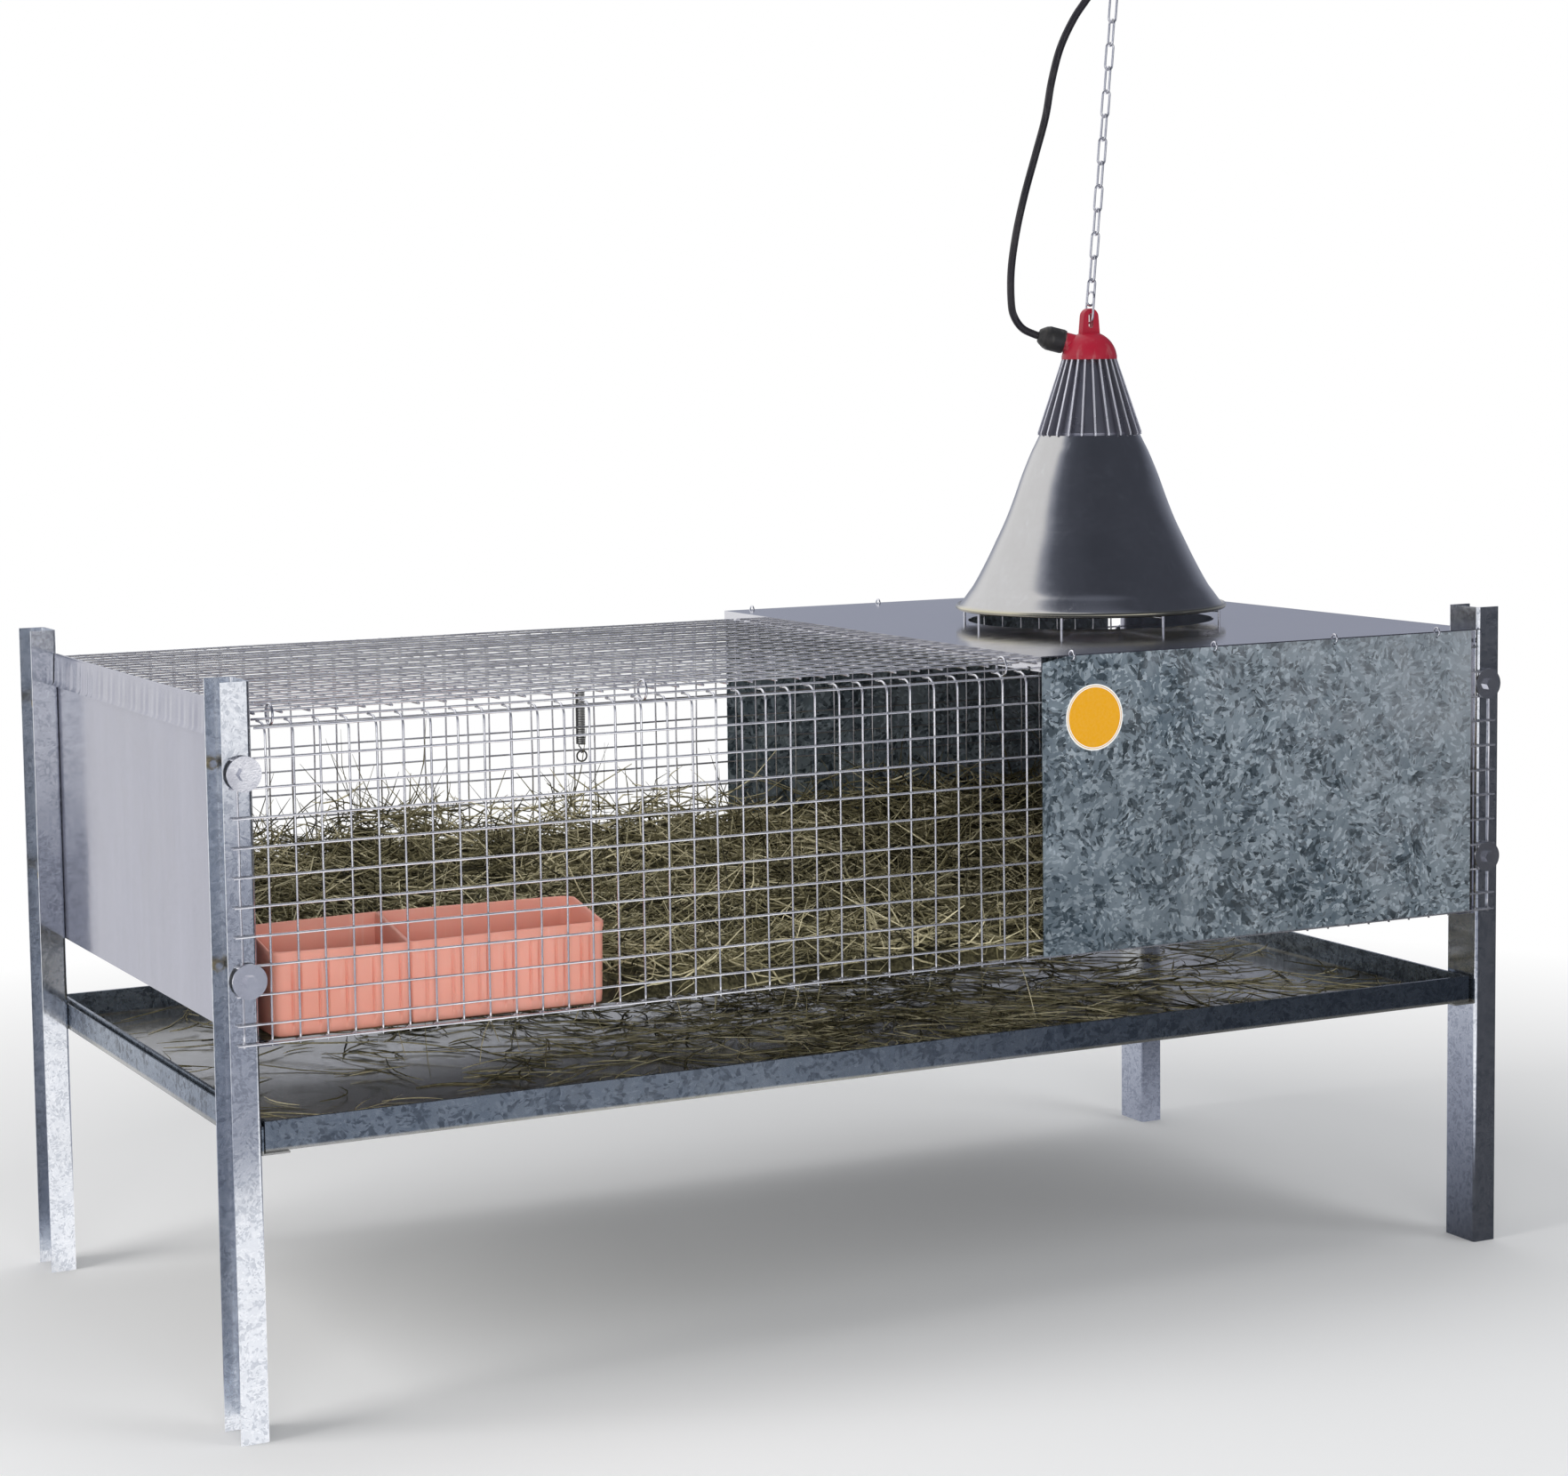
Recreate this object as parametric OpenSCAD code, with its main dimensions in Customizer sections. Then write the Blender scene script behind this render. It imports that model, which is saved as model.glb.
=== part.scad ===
// Chick brooder box: four channel posts, wire mesh cage, sheet shelter with a heat lamp, pull-out tray.
// Lengths are in millimetres. X runs along the box, the front faces -Y, Z is up, the feet stand on Z = 0.

/* [Box] */
// Length over the outer edges of the post flanges
box_length = 1016; // [930:1:1100]
// Depth over the outer faces of the post flanges
box_depth = 496; // [440:1:560]
// Height of the four posts
post_height = 494; // [485:1:560]
// Height of the top of the cage floor above the ground
floor_z = 262; // [240:1:280]
// Height of the cage from the floor to the top of the roof sheet
cage_height = 216; // [195:1:222]

/* [Posts] */
// Width of a post's web, front to back
post_web = 35; // [30:0.5:42]
// Length of a post's outward flanges
post_flange = 19.5; // [18:0.5:24]
// Thickness of the post steel
post_t = 1.4; // [1:0.1:2]
// Outer radius of the post's bends
post_bend = 2.6; // [2.2:0.1:3.5]

/* [Mesh] */
// Nominal spacing of the welded wires
mesh_pitch = 19; // [16:0.5:25]
// Diameter of a mesh wire
wire_d = 1.6; // [1.2:0.1:2]
// Radius at the wire's centre where the front mesh bends over the top
bend_r = 8; // [7:0.5:10]
// Height of the lid's turned-down rear flap
flap_h = 48; // [40:1:60]
// Distance between the front lip's wire and the lid's hinge wire
hinge_gap = 9; // [8:0.5:11]
// Drop of the lid's wires below the roof sheet
lid_drop = 4; // [2:0.5:5]
// Drop of the front mesh's lip below the roof sheet
lip_drop = 8; // [6:0.5:8]

/* [Sheet metal] */
// Thickness of the galvanised sheets
sheet_t = 0.8; // [0.6:0.1:1.2]
// Length of the closed shelter at the right-hand end
shelter_length = 393; // [300:1:400]
// Height of the roof's turned-down left edge
roof_lip = 11; // [8:1:15]
// Diameter of the roof hole under the lamp
lamp_hole_d = 196; // [170:1:200]
// Width of the end panel's inward ledge, which carries the floor
ledge_w = 14; // [10:1:20]
// Height of the end panel's folded top hem
hem_h = 23; // [12:1:28]
// Diameter of the round label
label_d = 48; // [30:1:60]

/* [Tray] */
// Height of the tray's underside above the ground
tray_z = 189; // [150:1:205]
// Height of the tray's rim
tray_rim = 20; // [15:1:30]
// Clearance at each end of the tray
tray_gap = 2; // [1:0.5:4]
// Leg length of the angle runners
runner_leg = 19; // [15:1:25]

/* [Clamps] */
// Diameter of the clamp washers
washer_d = 23; // [18:0.5:23]
// Diameter of the clamp bolts
bolt_d = 5; // [4:0.5:6]

/* [Trough] */
// Length of the feed trough
trough_length = 235; // [180:1:260]
// Width of the feed trough
trough_width = 62; // [50:1:80]
// Height of the trough's front wall
trough_front_h = 54; // [40:1:60]
// Height of the trough's back wall
trough_back_h = 66; // [60:1:75]
// Place of the trough's divider, as a part of its length
trough_split = 0.4; // [0.3:0.01:0.6]
// Wall thickness of the trough
trough_t = 2.2; // [1.6:0.1:3]

/* [Bedding] */
// Height of the hay at the front
hay_front = 12; // [6:1:20]
// Height of the hay in the middle
hay_mid = 26; // [20:1:40]
// Height of the hay at the back
hay_back = 62; // [50:1:70]

/* [Lamp] */
// Diameter of the lamp shade's rim
rim_d = 216; // [205:1:230]
// Height of the shade from rim to neck
shade_h = 139; // [120:1:160]
// Diameter of the shade's neck
neck_d = 80; // [70:1:90]
// Height of the finned housing
fin_h = 60; // [50:1:70]
// Diameter across the fins at the top
fin_top_d = 44; // [40:1:50]
// Number of cooling fins
fin_count = 24; // [18:1:30]
// Wire diameter of the lamp's guard
guard_wire = 2.4; // [2:0.1:3]
// Diameter of the heat bulb
bulb_d = 94; // [80:1:98]
// Diameter of the cable
cable_d = 6; // [5:0.5:8]

/* [Chain] */
// Inside length of a chain link
link_in = 18.8; // [16:0.2:22]
// Wire diameter of a chain link
link_wire = 2; // [1.6:0.1:2.4]
// Number of chain links
link_count = 14; // [10:1:15]
// Lean of the chain from upright, in degrees
chain_lean = 5.5; // [3:0.5:8]

/* [Hidden] */
$fn = 48;
// Gap between the two layers of wires in a mesh
wire_gap = 0.05;
// Gap at a sliding or lift-off seat
seat = 0.1;
// Web faces, flange faces and the main levels
ax = box_length / 2 - post_flange;
by = box_depth / 2;
roof_top = floor_z + cage_height;
roof_low = roof_top - sheet_t;
panel_top = roof_low - 1.5;
skin = 2 * wire_d + wire_gap;
// Lip and lid wires: cross wires below, long wires on top
lip_top = roof_low - lip_drop;
lip_z = lip_top - 1.5 * wire_d - wire_gap;
lip_long_z = lip_top - wire_d / 2;
lid_top = roof_low - lid_drop;
lid_z = lid_top - 1.5 * wire_d - wire_gap;
lid_long_z = lid_top - wire_d / 2;
face_y = by + wire_d / 2;
row_y = by + 1.5 * wire_d + wire_gap;
lip_y = -face_y + bend_r + 5;
hinge_y = lip_y + hinge_gap;
// Columns of the front and rear meshes, spread evenly from flange to flange
col_out = 10.5;
col_n = round(2 * (ax + col_out) / mesh_pitch);
col_p = 2 * (ax + col_out) / col_n;
function col(k) = -(ax + col_out) + k * col_p;
// Rows of the front and rear meshes
row_top = roof_low - 5.2 - lip_drop;
row_low = floor_z - wire_d / 2;
row_n = floor((row_top - row_low - 2 * wire_d) / mesh_pitch);
function row(j) = row_top - j * mesh_pitch;
row_end = ax + col_out + 4.5;
// The front mesh's top row lies on the outside of the bend
bend_z = lip_z - bend_r;
top_row_y = -face_y + bend_r - sqrt(pow(bend_r + wire_d + wire_gap, 2) - pow(row_top - bend_z, 2));
// Floor mesh levels and the ledge under it
ledge_top = floor_z - skin;
floor_x = ax - sheet_t - 0.5;
floor_y = by - 0.6;
floor_rows = round(2 * (floor_y - 4) / mesh_pitch);
// Shelter and lid edges
roof_x = ax - shelter_length;
lid_x0 = -ax + sheet_t + 3;
lid_x1 = roof_x - 3;
lid_cols = floor((lid_x1 - 2 - col(0)) / col_p);
flap_y = by + skin + 1 + wire_d / 2;
flap_bend = 6;
flap_row_y = flap_y + wire_d + wire_gap;
rear_top = lid_z - flap_bend - seat
    + sqrt(pow(flap_bend - wire_d / 2, 2) - pow(by + wire_d - flap_y + flap_bend, 2));
lid_rows = floor((flap_y - flap_bend - 2 - hinge_y) / mesh_pitch);
flap_low = lid_z - flap_h + 2;
// Bolts lie between rows and outside the webs
bolt_x = ax + 6.8;
bolt_zs = [row(1.5), row(8.5)];
sheet_y = by + skin;
// Lamp axis and levels
lamp_x = (roof_x + ax - 0.5) / 2 + 7;
rim_r = rim_d / 2;
guard_r = rim_r - 4;
rim_z = roof_top + 9;
neck_z = rim_z + shade_h;
fin_z = neck_z + fin_h;
fin_bot_d = neck_d + 3;
cap_r = fin_top_d / 2;
eye_z = fin_z + cap_r + 9.8;
gland_turn = 154;
gland_tilt = 15;
boss_r = 8;
gland_z = fin_z + boss_r / cos(gland_tilt) + 0.2;
boss_end = cap_r - 1.4;
gland_r = 9.6;
gland_len = 21.2;
socket_bore = 13.4;
// Hook and chain, hung from the eye and leaning to the right
hook_in = 20;
hook_wire = 1.8;
chain_base = hook_in - hook_wire / 2 - 0.1;
link_step = link_in - 0.1;
chain_len = chain_base + link_in / 2 + link_wire / 2 + (link_count - 1) * link_step;
rose_r = 32;
rose_ring = 5;
rose_wire = 2.4;

// Parts listed here, one module each

// Straight bars along each axis
module bar_x(x0, x1, y, z, d) {
    translate([x0, y, z]) rotate([0, 90, 0]) cylinder(h = x1 - x0, d = d);
}

module bar_y(y0, y1, x, z, d) {
    translate([x, y0, z]) rotate([-90, 0, 0]) cylinder(h = y1 - y0, d = d);
}

module bar_z(z0, z1, x, y, d) {
    translate([x, y, z0]) cylinder(h = z1 - z0, d = d);
}

// Quarter bend in the plane across X, from angle a0 (0 is +Y, 90 is +Z)
module bend_yz(x, y, z, r, d, a0) {
    translate([x, y, z])
        rotate([90, 0, 90])
            rotate([0, 0, a0])
                rotate_extrude(angle = 90) translate([r, 0]) circle(d = d);
}

// Whole ring in the plane across X
module ring_yz(x, y, z, r, d) {
    translate([x, y, z])
        rotate([90, 0, 90])
            rotate_extrude() translate([r, 0]) circle(d = d);
}

// Rounded block for moulded shapes
module round_plate(w, d, r) {
    union() {
        translate([r, 0]) square([w - 2 * r, d]);
        translate([0, r]) square([w, d - 2 * r]);
        for (x = [r, w - r], y = [r, d - r])
            translate([x, y]) circle(r = r);
    }
}

// Tube swept along a list of points
function unit(v) = v / norm(v);
function any_across(t) = unit(cross(t, abs(t[2]) < 0.8 ? [0, 0, 1] : [0, 1, 0]));
function tangents(p) = let (m = len(p) - 1)
    [for (i = [0:m]) unit(p[min(i + 1, m)] - p[max(i - 1, 0)])];
function carry(v, t) = unit(v - (v * t) * t);
function normals(t) =
    [for (i = 0, v = any_across(t[0]); i < len(t); i = i + 1, v = i < len(t) ? carry(v, t[i]) : v) v];

module tube(p, r, sides) {
    t = tangents(p);
    n = normals(t);
    last = len(p) - 1;
    pts = [for (i = [0:last], k = [0:sides - 1])
        let (b = cross(t[i], n[i]), a = 360 * k / sides) p[i] + r * (cos(a) * n[i] + sin(a) * b)];
    walls = [for (i = [0:last - 1], k = [0:sides - 1])
        let (a = i * sides + k, b = i * sides + (k + 1) % sides, c = a + sides, d = b + sides)
        each [[a, c, b], [b, c, d]]];
    cap_a = [[for (k = [0:sides - 1]) k]];
    cap_b = [[for (k = [sides - 1:-1:0]) last * sides + k]];
    polyhedron(points = pts, faces = concat(cap_a, walls, cap_b), convexity = 8);
}

// Posts
module channel_2d() {
    inner = post_bend - post_t;
    difference() {
        union() {
            translate([-post_flange, 0]) square([post_flange - post_bend, post_web]);
            translate([-post_bend, post_bend]) square([post_bend, post_web - 2 * post_bend]);
            for (y = [post_bend, post_web - post_bend])
                translate([-post_bend, y]) circle(r = post_bend);
        }
        union() {
            translate([-post_flange - 1, post_t])
                square([post_flange + 1 - post_bend, post_web - 2 * post_t]);
            translate([-post_bend - 0.01, post_bend]) square([inner + 0.01, post_web - 2 * post_bend]);
            for (y = [post_bend, post_web - post_bend])
                translate([-post_bend, y]) circle(r = inner);
        }
    }
}

// A left-hand post; side is -1 at the front and 1 at the back, where its clamp holes are
module left_post(side) {
    difference() {
        translate([-ax, side < 0 ? -by : by - post_web, 0]) linear_extrude(post_height) channel_2d();
        for (z = bolt_zs)
            translate([-bolt_x, side * by, z])
                rotate([90, 0, 0]) cylinder(h = 4 * post_t, d = bolt_d + 0.4, center = true);
    }
}

module post_front_left() color("silver") left_post(-1);
module post_rear_left() color("silver") left_post(1);
module post_front_right() color("silver") mirror([1, 0, 0]) left_post(-1);
module post_rear_right() color("silver") mirror([1, 0, 0]) left_post(1);

// End panels, lapped on the inside of the webs
module left_panel() {
    y = by - 4;
    hem_y = by - post_web - 2;
    union() {
        translate([-ax, -y, ledge_top - sheet_t]) cube([sheet_t, 2 * y, panel_top - ledge_top + sheet_t]);
        translate([-ax, -y, ledge_top - sheet_t]) cube([ledge_w, 2 * y, sheet_t]);
        translate([-ax - sheet_t, -hem_y, panel_top - hem_h]) cube([sheet_t, 2 * hem_y, hem_h]);
    }
}

module end_panel_left() color("lightgray") left_panel();
module end_panel_right() color("lightgray") mirror([1, 0, 0]) left_panel();

// Angle runners under the tray
module left_runner() {
    t = 1.2;
    y = by - 1;
    union() {
        translate([-ax, -y, tray_z - t]) cube([t, 2 * y, runner_leg]);
        translate([-ax, -y, tray_z - t]) cube([runner_leg, 2 * y, t]);
    }
}

module runner_left() color("gray") left_runner();
module runner_right() color("gray") mirror([1, 0, 0]) left_runner();

// Front mesh: upright wires behind, rows in front, the uprights bent over the top into a lip
module front_mesh() color("darkgray") {
    for (k = [1:col_n - 1]) {
        union() {
            bar_z(row_low - 2, bend_z, col(k), -face_y, wire_d);
            bend_yz(col(k), -face_y + bend_r, bend_z, bend_r, wire_d, 90);
            bar_y(-face_y + bend_r, lip_y + 2, col(k), lip_z, wire_d);
        }
    }
    for (k = [0, col_n])
        bar_z(row_low - 2, row(1) + 2, col(k), -face_y, wire_d);
    bar_x(-ax + 1.5, ax - 1.5, top_row_y, row_top, wire_d);
    for (j = [1:row_n])
        bar_x(-row_end, row_end, -row_y, row(j), wire_d);
    bar_x(-row_end, row_end, -row_y, row_low, wire_d);
    bar_x(lid_x0, -lid_x0, lip_y, lip_long_z, wire_d);
}

// Rear mesh: flat, its uprights carry the lid
module rear_mesh() color("darkgray") {
    for (k = [1:col_n - 1])
        bar_z(row_low - 2, rear_top, col(k), face_y, wire_d);
    for (k = [0, col_n])
        bar_z(row_low - 2, row_top + 2, col(k), face_y, wire_d);
    for (j = [0:row_n])
        bar_x(-row_end, row_end, row_y, row(j), wire_d);
    bar_x(-row_end, row_end, row_y, row_low, wire_d);
}

// Floor mesh on the end panels' ledges
module floor_mesh() color("darkgray") {
    step = 2 * (floor_y - 4) / floor_rows;
    for (j = [0:floor_rows])
        bar_x(-floor_x, floor_x, -floor_y + 4 + j * step, ledge_top + wire_d / 2, wire_d);
    for (k = [1:col_n - 1])
        bar_y(-floor_y, floor_y, col(k), floor_z - wire_d / 2, wire_d);
}

// Lid over the open run, hinged at the front, with a flap down the back
module lid_mesh() color("darkgray") {
    for (k = [1:lid_cols])
        bar_y(hinge_y - 2, flap_y - flap_bend - wire_gap, col(k), lid_z, wire_d);
    for (k = [1:lid_cols]) {
        union() {
            bend_yz(col(k), flap_y - flap_bend, lid_z - flap_bend, flap_bend, wire_d, 0);
            bar_z(flap_low - 2, lid_z - flap_bend, col(k), flap_y, wire_d);
        }
    }
    for (j = [0:lid_rows])
        bar_x(lid_x0, lid_x1, hinge_y + j * mesh_pitch, lid_long_z, wire_d);
    for (z = [lid_z - flap_bend - 4, (lid_z - flap_bend - 4 + flap_low) / 2, flap_low])
        bar_x(lid_x0, lid_x1, flap_row_y, z, wire_d);
}

// Rings that hold the lid's front wire to the lip's wire
module lid_hinge_rings() color("silver") {
    r = norm([hinge_gap, lid_drop - lip_drop]) / 2 + wire_d / 2 + 0.25 + 0.8;
    for (k = [1.5, floor(lid_cols / 2) + 0.5, lid_cols - 0.5])
        ring_yz(col(k), (lip_y + hinge_y) / 2, (lip_long_z + lid_long_z) / 2, r, 1.6);
}

// Spring latch hung from the flap's lowest wire
latch_x = col(floor(lid_cols * 0.8) + 0.5);
latch_wire = 1;
latch_turns = 23;
latch_pitch = 2;
latch_r = 3.6;
latch_y = by + skin + latch_r + latch_wire / 2 + 0.4;
hook_r = wire_d / 2 + latch_wire / 2 + 0.4;
coil_top = flap_low - 6;
coil_low = coil_top - latch_turns * latch_pitch;
eye_r = 1.7;
eye_y = latch_y - eye_r;
eye_low = coil_low - 5;
latch_top = [for (a = [225:-45:0])
    [latch_x, flap_row_y + hook_r * cos(a), flap_low + hook_r * sin(a)]];
latch_coil = [for (i = [0:latch_turns * 8])
    [latch_x + latch_r * cos(45 * i + 90), latch_y + latch_r * sin(45 * i + 90),
        coil_top - latch_pitch * i / 8]];
latch_end = [for (a = [0:-45:-225]) [latch_x, eye_y + eye_r * cos(a), eye_low + eye_r * sin(a)]];
latch_path = concat(latch_top,
    [[latch_x, latch_y + 0.6, coil_top + 2.2], [latch_x, latch_y + 2.2, coil_top + 1]],
    latch_coil,
    [[latch_x - 1.2, latch_y + 1.2, coil_low - 1.2], [latch_x, latch_y, coil_low - 3]],
    latch_end);
latch_apart = min([for (i = [0:len(latch_path) - 8], j = [i + 7:len(latch_path) - 1])
    norm(latch_path[i] - latch_path[j])]) - latch_wire;
echo(latch_spring_least_gap = latch_apart);

module latch_spring() color("black") tube(latch_path, latch_wire / 2, 6);

module latch_ring() color("black") {
    translate([latch_x, eye_y, eye_low - 4.4])
        rotate([90, 0, 0]) rotate_extrude() translate([4.4, 0]) circle(d = 1.4);
}

// Clamps that hold the front and rear meshes to the post flanges
module at_clamps() {
    for (sx = [-1, 1], sy = [0, 1], z = bolt_zs)
        mirror([0, sy, 0]) translate([sx * bolt_x, -by, z]) rotate([90, 0, 0]) children();
}

module clamp_washers() color("silver") {
    at_clamps()
        translate([0, 0, skin]) difference() {
            cylinder(h = 1.5, d = washer_d);
            translate([0, 0, -1]) cylinder(h = 4, d = bolt_d + 0.4);
        }
}

module clamp_bolts() color("silver") {
    at_clamps() union() {
        translate([0, 0, skin + 1.5]) cylinder(h = 3.5, d = bolt_d * 1.8, $fn = 6);
        translate([0, 0, -post_t - 7]) cylinder(h = skin + post_t + 9, d = bolt_d);
    }
}

module clamp_nuts() color("goldenrod") {
    at_clamps()
        translate([0, 0, -post_t - 4]) difference() {
            rotate([0, 0, 30]) cylinder(h = 4, d = bolt_d * 1.8, $fn = 6);
            translate([0, 0, -1]) cylinder(h = 6, d = bolt_d + seat);
        }
}

// Shelter sheets
stitch_r = 3.2;
stitch_d = 1.4;
stitch_xs = [for (part = [0.066, 0.377, 0.651, 0.893]) roof_x + part * shelter_length];

module shelter_sheet() {
    x0 = roof_x + 1;
    x1 = ax - 9.5;
    difference() {
        translate([0, -sheet_y, 0]) rotate([90, 0, 0]) linear_extrude(sheet_t)
            polygon([[x0, floor_z], [x1, floor_z], [x1, roof_low], [stitch_xs[0] - 4, roof_low],
                [x0, roof_low - 4]]);
        for (x = stitch_xs)
            translate([x, -sheet_y - sheet_t / 2, roof_low - stitch_r])
                rotate([90, 0, 0]) cylinder(h = 4, d = stitch_d + 1, center = true);
    }
}

module shelter_front_sheet() color("lightsteelblue") shelter_sheet();
module shelter_rear_sheet() color("lightsteelblue") mirror([0, 1, 0]) shelter_sheet();

module shelter_roof() color("lightgray") {
    y = sheet_y + sheet_t;
    difference() {
        union() {
            translate([roof_x, -y, roof_low]) cube([ax - 0.5 - roof_x, 2 * y, sheet_t]);
            translate([roof_x, -y, roof_top - roof_lip]) cube([sheet_t, 2 * y, roof_lip]);
        }
        translate([roof_x - 1, lip_y - 2, roof_top - 20])
            cube([sheet_t + 2, 4, lip_top + 0.6 - roof_top + 20]);
        translate([lamp_x, 0, roof_low - 1]) cylinder(h = sheet_t + 2, d = lamp_hole_d);
        for (x = stitch_xs, s = [-1, 1])
            translate([x, s * (y - sheet_t / 2 - stitch_r), roof_low - 1])
                cylinder(h = sheet_t + 2, d = stitch_d + 1);
    }
}

// Rings that stitch the front and rear sheets to the roof
module stitch_rings() color("silver") {
    for (x = stitch_xs, s = [-1, 1])
        ring_yz(x, s * (sheet_y + sheet_t / 2), roof_low + sheet_t / 2, stitch_r, stitch_d);
}

// Plain round label on the front sheet
module label_disc() color("orange") {
    translate([roof_x + 44.5, -sheet_y - sheet_t, roof_top - 46])
        rotate([90, 0, 0]) cylinder(h = 0.3, d = label_d);
}

// Strip of the tray's rim along X with its folded hem, standing on the tray's floor
module tray_strip(length, hem) {
    union() {
        translate([-length / 2, 0, 0]) cube([length, sheet_t, tray_rim - sheet_t - wire_gap]);
        translate([-length / 2, 0, tray_rim - sheet_t - wire_gap - 5]) cube([length, hem, 5]);
    }
}

// Tray that slides out to the front on the runners
module dropping_tray() color("slategray") {
    x = ax - 1.2 - tray_gap;
    y = by - 4;
    hem = 3 * sheet_t;
    rim_low = tray_z + seat + sheet_t + wire_gap;
    translate([-x, -y, tray_z + seat]) cube([2 * x, 2 * y, sheet_t]);
    for (s = [0, 1]) {
        mirror([0, s, 0]) translate([0, -y, rim_low]) tray_strip(2 * x, hem);
        mirror([s, 0, 0]) translate([-x, 0, rim_low]) rotate([0, 0, -90])
            tray_strip(2 * (y - hem - wire_gap), hem);
    }
}

// Feed trough: two compartments, sloping ends, upright ribs on the front
trough_x = -ax + sheet_t + 11;
trough_y = -by + 5;

module feed_trough() color("salmon") {
    w = trough_length;
    d = trough_width;
    t = trough_t;
    r = 9;
    split = trough_split * w;
    slope = atan((trough_back_h - trough_front_h) / d);
    translate([trough_x, trough_y, floor_z + seat])
        difference() {
            union() {
                linear_extrude(trough_back_h) round_plate(w, d, r);
                for (i = [0:11])
                    translate([13.5 + i * (w - 32) / 11, -1.3, 6]) cube([5, 4, trough_front_h - 14]);
            }
            translate([t, t, t]) linear_extrude(trough_back_h) round_plate(split - 1.5 * t, d - 2 * t, r - t);
            translate([split + t / 2, t, t])
                linear_extrude(trough_back_h) round_plate(w - split - 1.5 * t, d - 2 * t, r - t);
            translate([-20, -2, trough_front_h]) rotate([slope, 0, 0]) cube([w + 40, 2 * d, 40]);
        }
}

// Slice of the bedding's bank between two depths
module hay_bank(x0, x1, y0, y1) {
    y = by - 3;
    intersection() {
        translate([x0, 0, floor_z])
            rotate([90, 0, 90])
                linear_extrude(x1 - x0)
                    polygon([[-y, 0], [y, 0], [y, hay_back], [0.75 * y, 0.84 * hay_back], [0, hay_mid],
                        [-y / 2, (hay_front + hay_mid) / 2], [-y, hay_front]]);
        translate([x0 - 1, y0, floor_z - 1]) cube([x1 - x0 + 2, y1 - y0, hay_back + 2]);
    }
}

// Loose bedding on the floor, banked up at the back, with the trough's place left free
module hay_bedding() color("darkkhaki") {
    x = ax - sheet_t - 2;
    behind = -by + trough_width + 8;
    hay_bank(-x, x, behind, by);
    hay_bank(trough_x + trough_length + 2, x, -by, behind - wire_gap);
}

// Lamp shade: spun bell with a rolled rim
module lamp_shade() color("silver") {
    t = 1;
    n = neck_d / 2;
    // Outer line from the rim up to the neck, as parts of the width and height
    line = [[1, 0], [0.955, 0.025], [0.88, 0.075], [0.8, 0.13], [0.66, 0.255], [0.53, 0.385], [0.41, 0.51],
        [0.31, 0.635], [0.215, 0.765], [0.11, 0.89], [0.045, 0.955], [0, 1]];
    outer = [for (p = line) [n + p[0] * (rim_r - 2 - n), rim_z + 2.4 + p[1] * (shade_h - 2.4)]];
    inner = [for (i = [len(outer) - 1:-1:0]) [outer[i][0] - t, outer[i][1] - (i > len(outer) - 3 ? t : 0)]];
    translate([lamp_x, 0, 0])
        rotate_extrude() union() {
            polygon(concat(outer, inner));
            translate([rim_r - 2.4, rim_z + 2.4]) circle(r = 2.4);
            translate([16, neck_z - t]) square([n - 16, t]);
        }
}

// Finned housing over the shade's neck
module lamp_fin_housing() color("silver") {
    b = fin_bot_d / 2;
    u = fin_top_d / 2;
    translate([lamp_x, 0, neck_z])
        union() {
            rotate_extrude() polygon([[14, 0], [b - 6, 0], [b - 6, 2], [u - 5, fin_h], [14, fin_h]]);
            for (i = [0:fin_count - 1])
                rotate([90, 0, 360 * (i + 0.25) / fin_count])
                    linear_extrude(1.5, center = true)
                        polygon([[15, 0], [b, 0], [b, 2], [u, fin_h], [15, fin_h]]);
        }
}

// Red cap with the hanging eye and the boss for the gland
module lamp_cap() color("firebrick") {
    translate([lamp_x, 0, fin_z])
        difference() {
            union() {
                difference() {
                    union() {
                        sphere(r = cap_r);
                        cylinder(h = 3, r = cap_r);
                    }
                    translate([0, 0, -cap_r]) cube(cap_r * 2, center = true);
                }
                translate([0, 3, 12]) rotate([90, 0, 0]) linear_extrude(6) union() {
                    polygon([[-9, 0], [9, 0], [7, eye_z - fin_z - 10], [-7, eye_z - fin_z - 10]]);
                    translate([0, eye_z - fin_z - 10.6]) circle(r = 7);
                }
                rotate([0, 0, gland_turn]) translate([0, 0, gland_z - fin_z])
                    rotate([0, 90 - gland_tilt, 0]) cylinder(h = boss_end, r = boss_r);
            }
            translate([0, 0, eye_z - fin_z]) rotate([90, 0, 0]) linear_extrude(20, center = true) union() {
                translate([-2.2, -5]) square([4.4, 7.4]);
                translate([0, 2.4]) circle(r = 2.2);
                translate([0, -5]) circle(r = 2.2);
            }
        }
}

// Cable gland on the cap's boss
module cable_gland() color("black") {
    translate([lamp_x, 0, gland_z])
        rotate([0, 0, gland_turn])
            rotate([0, 90 - gland_tilt, 0])
                translate([0, 0, boss_end + wire_gap])
                    rotate_extrude()
                        polygon([[cable_d / 2 + seat, 0], [gland_r - 0.6, 0], [gland_r, 2],
                            [gland_r, gland_len - 8], [gland_r - 1, gland_len - 5],
                            [gland_r - 3.2, gland_len - 1.6], [cable_d / 2 + 2, gland_len],
                            [cable_d / 2 + seat, gland_len]]);
}

// Cable: out of the gland, up and over to the ceiling rose
function lamp_side(s, z) = [lamp_x + s * cos(gland_turn), s * sin(gland_turn), gland_z + z];
function gland_line(a) = lamp_side(a * cos(gland_tilt), a * sin(gland_tilt));
rose_x = lamp_x + chain_len * sin(chain_lean);
rose_z = eye_z + 2.2 + chain_len * cos(chain_lean) - link_wire / 2 - seat + 2 * rose_ring - rose_wire / 2;
rose_up = rose_z - gland_z;
entry_s = -12;
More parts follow.
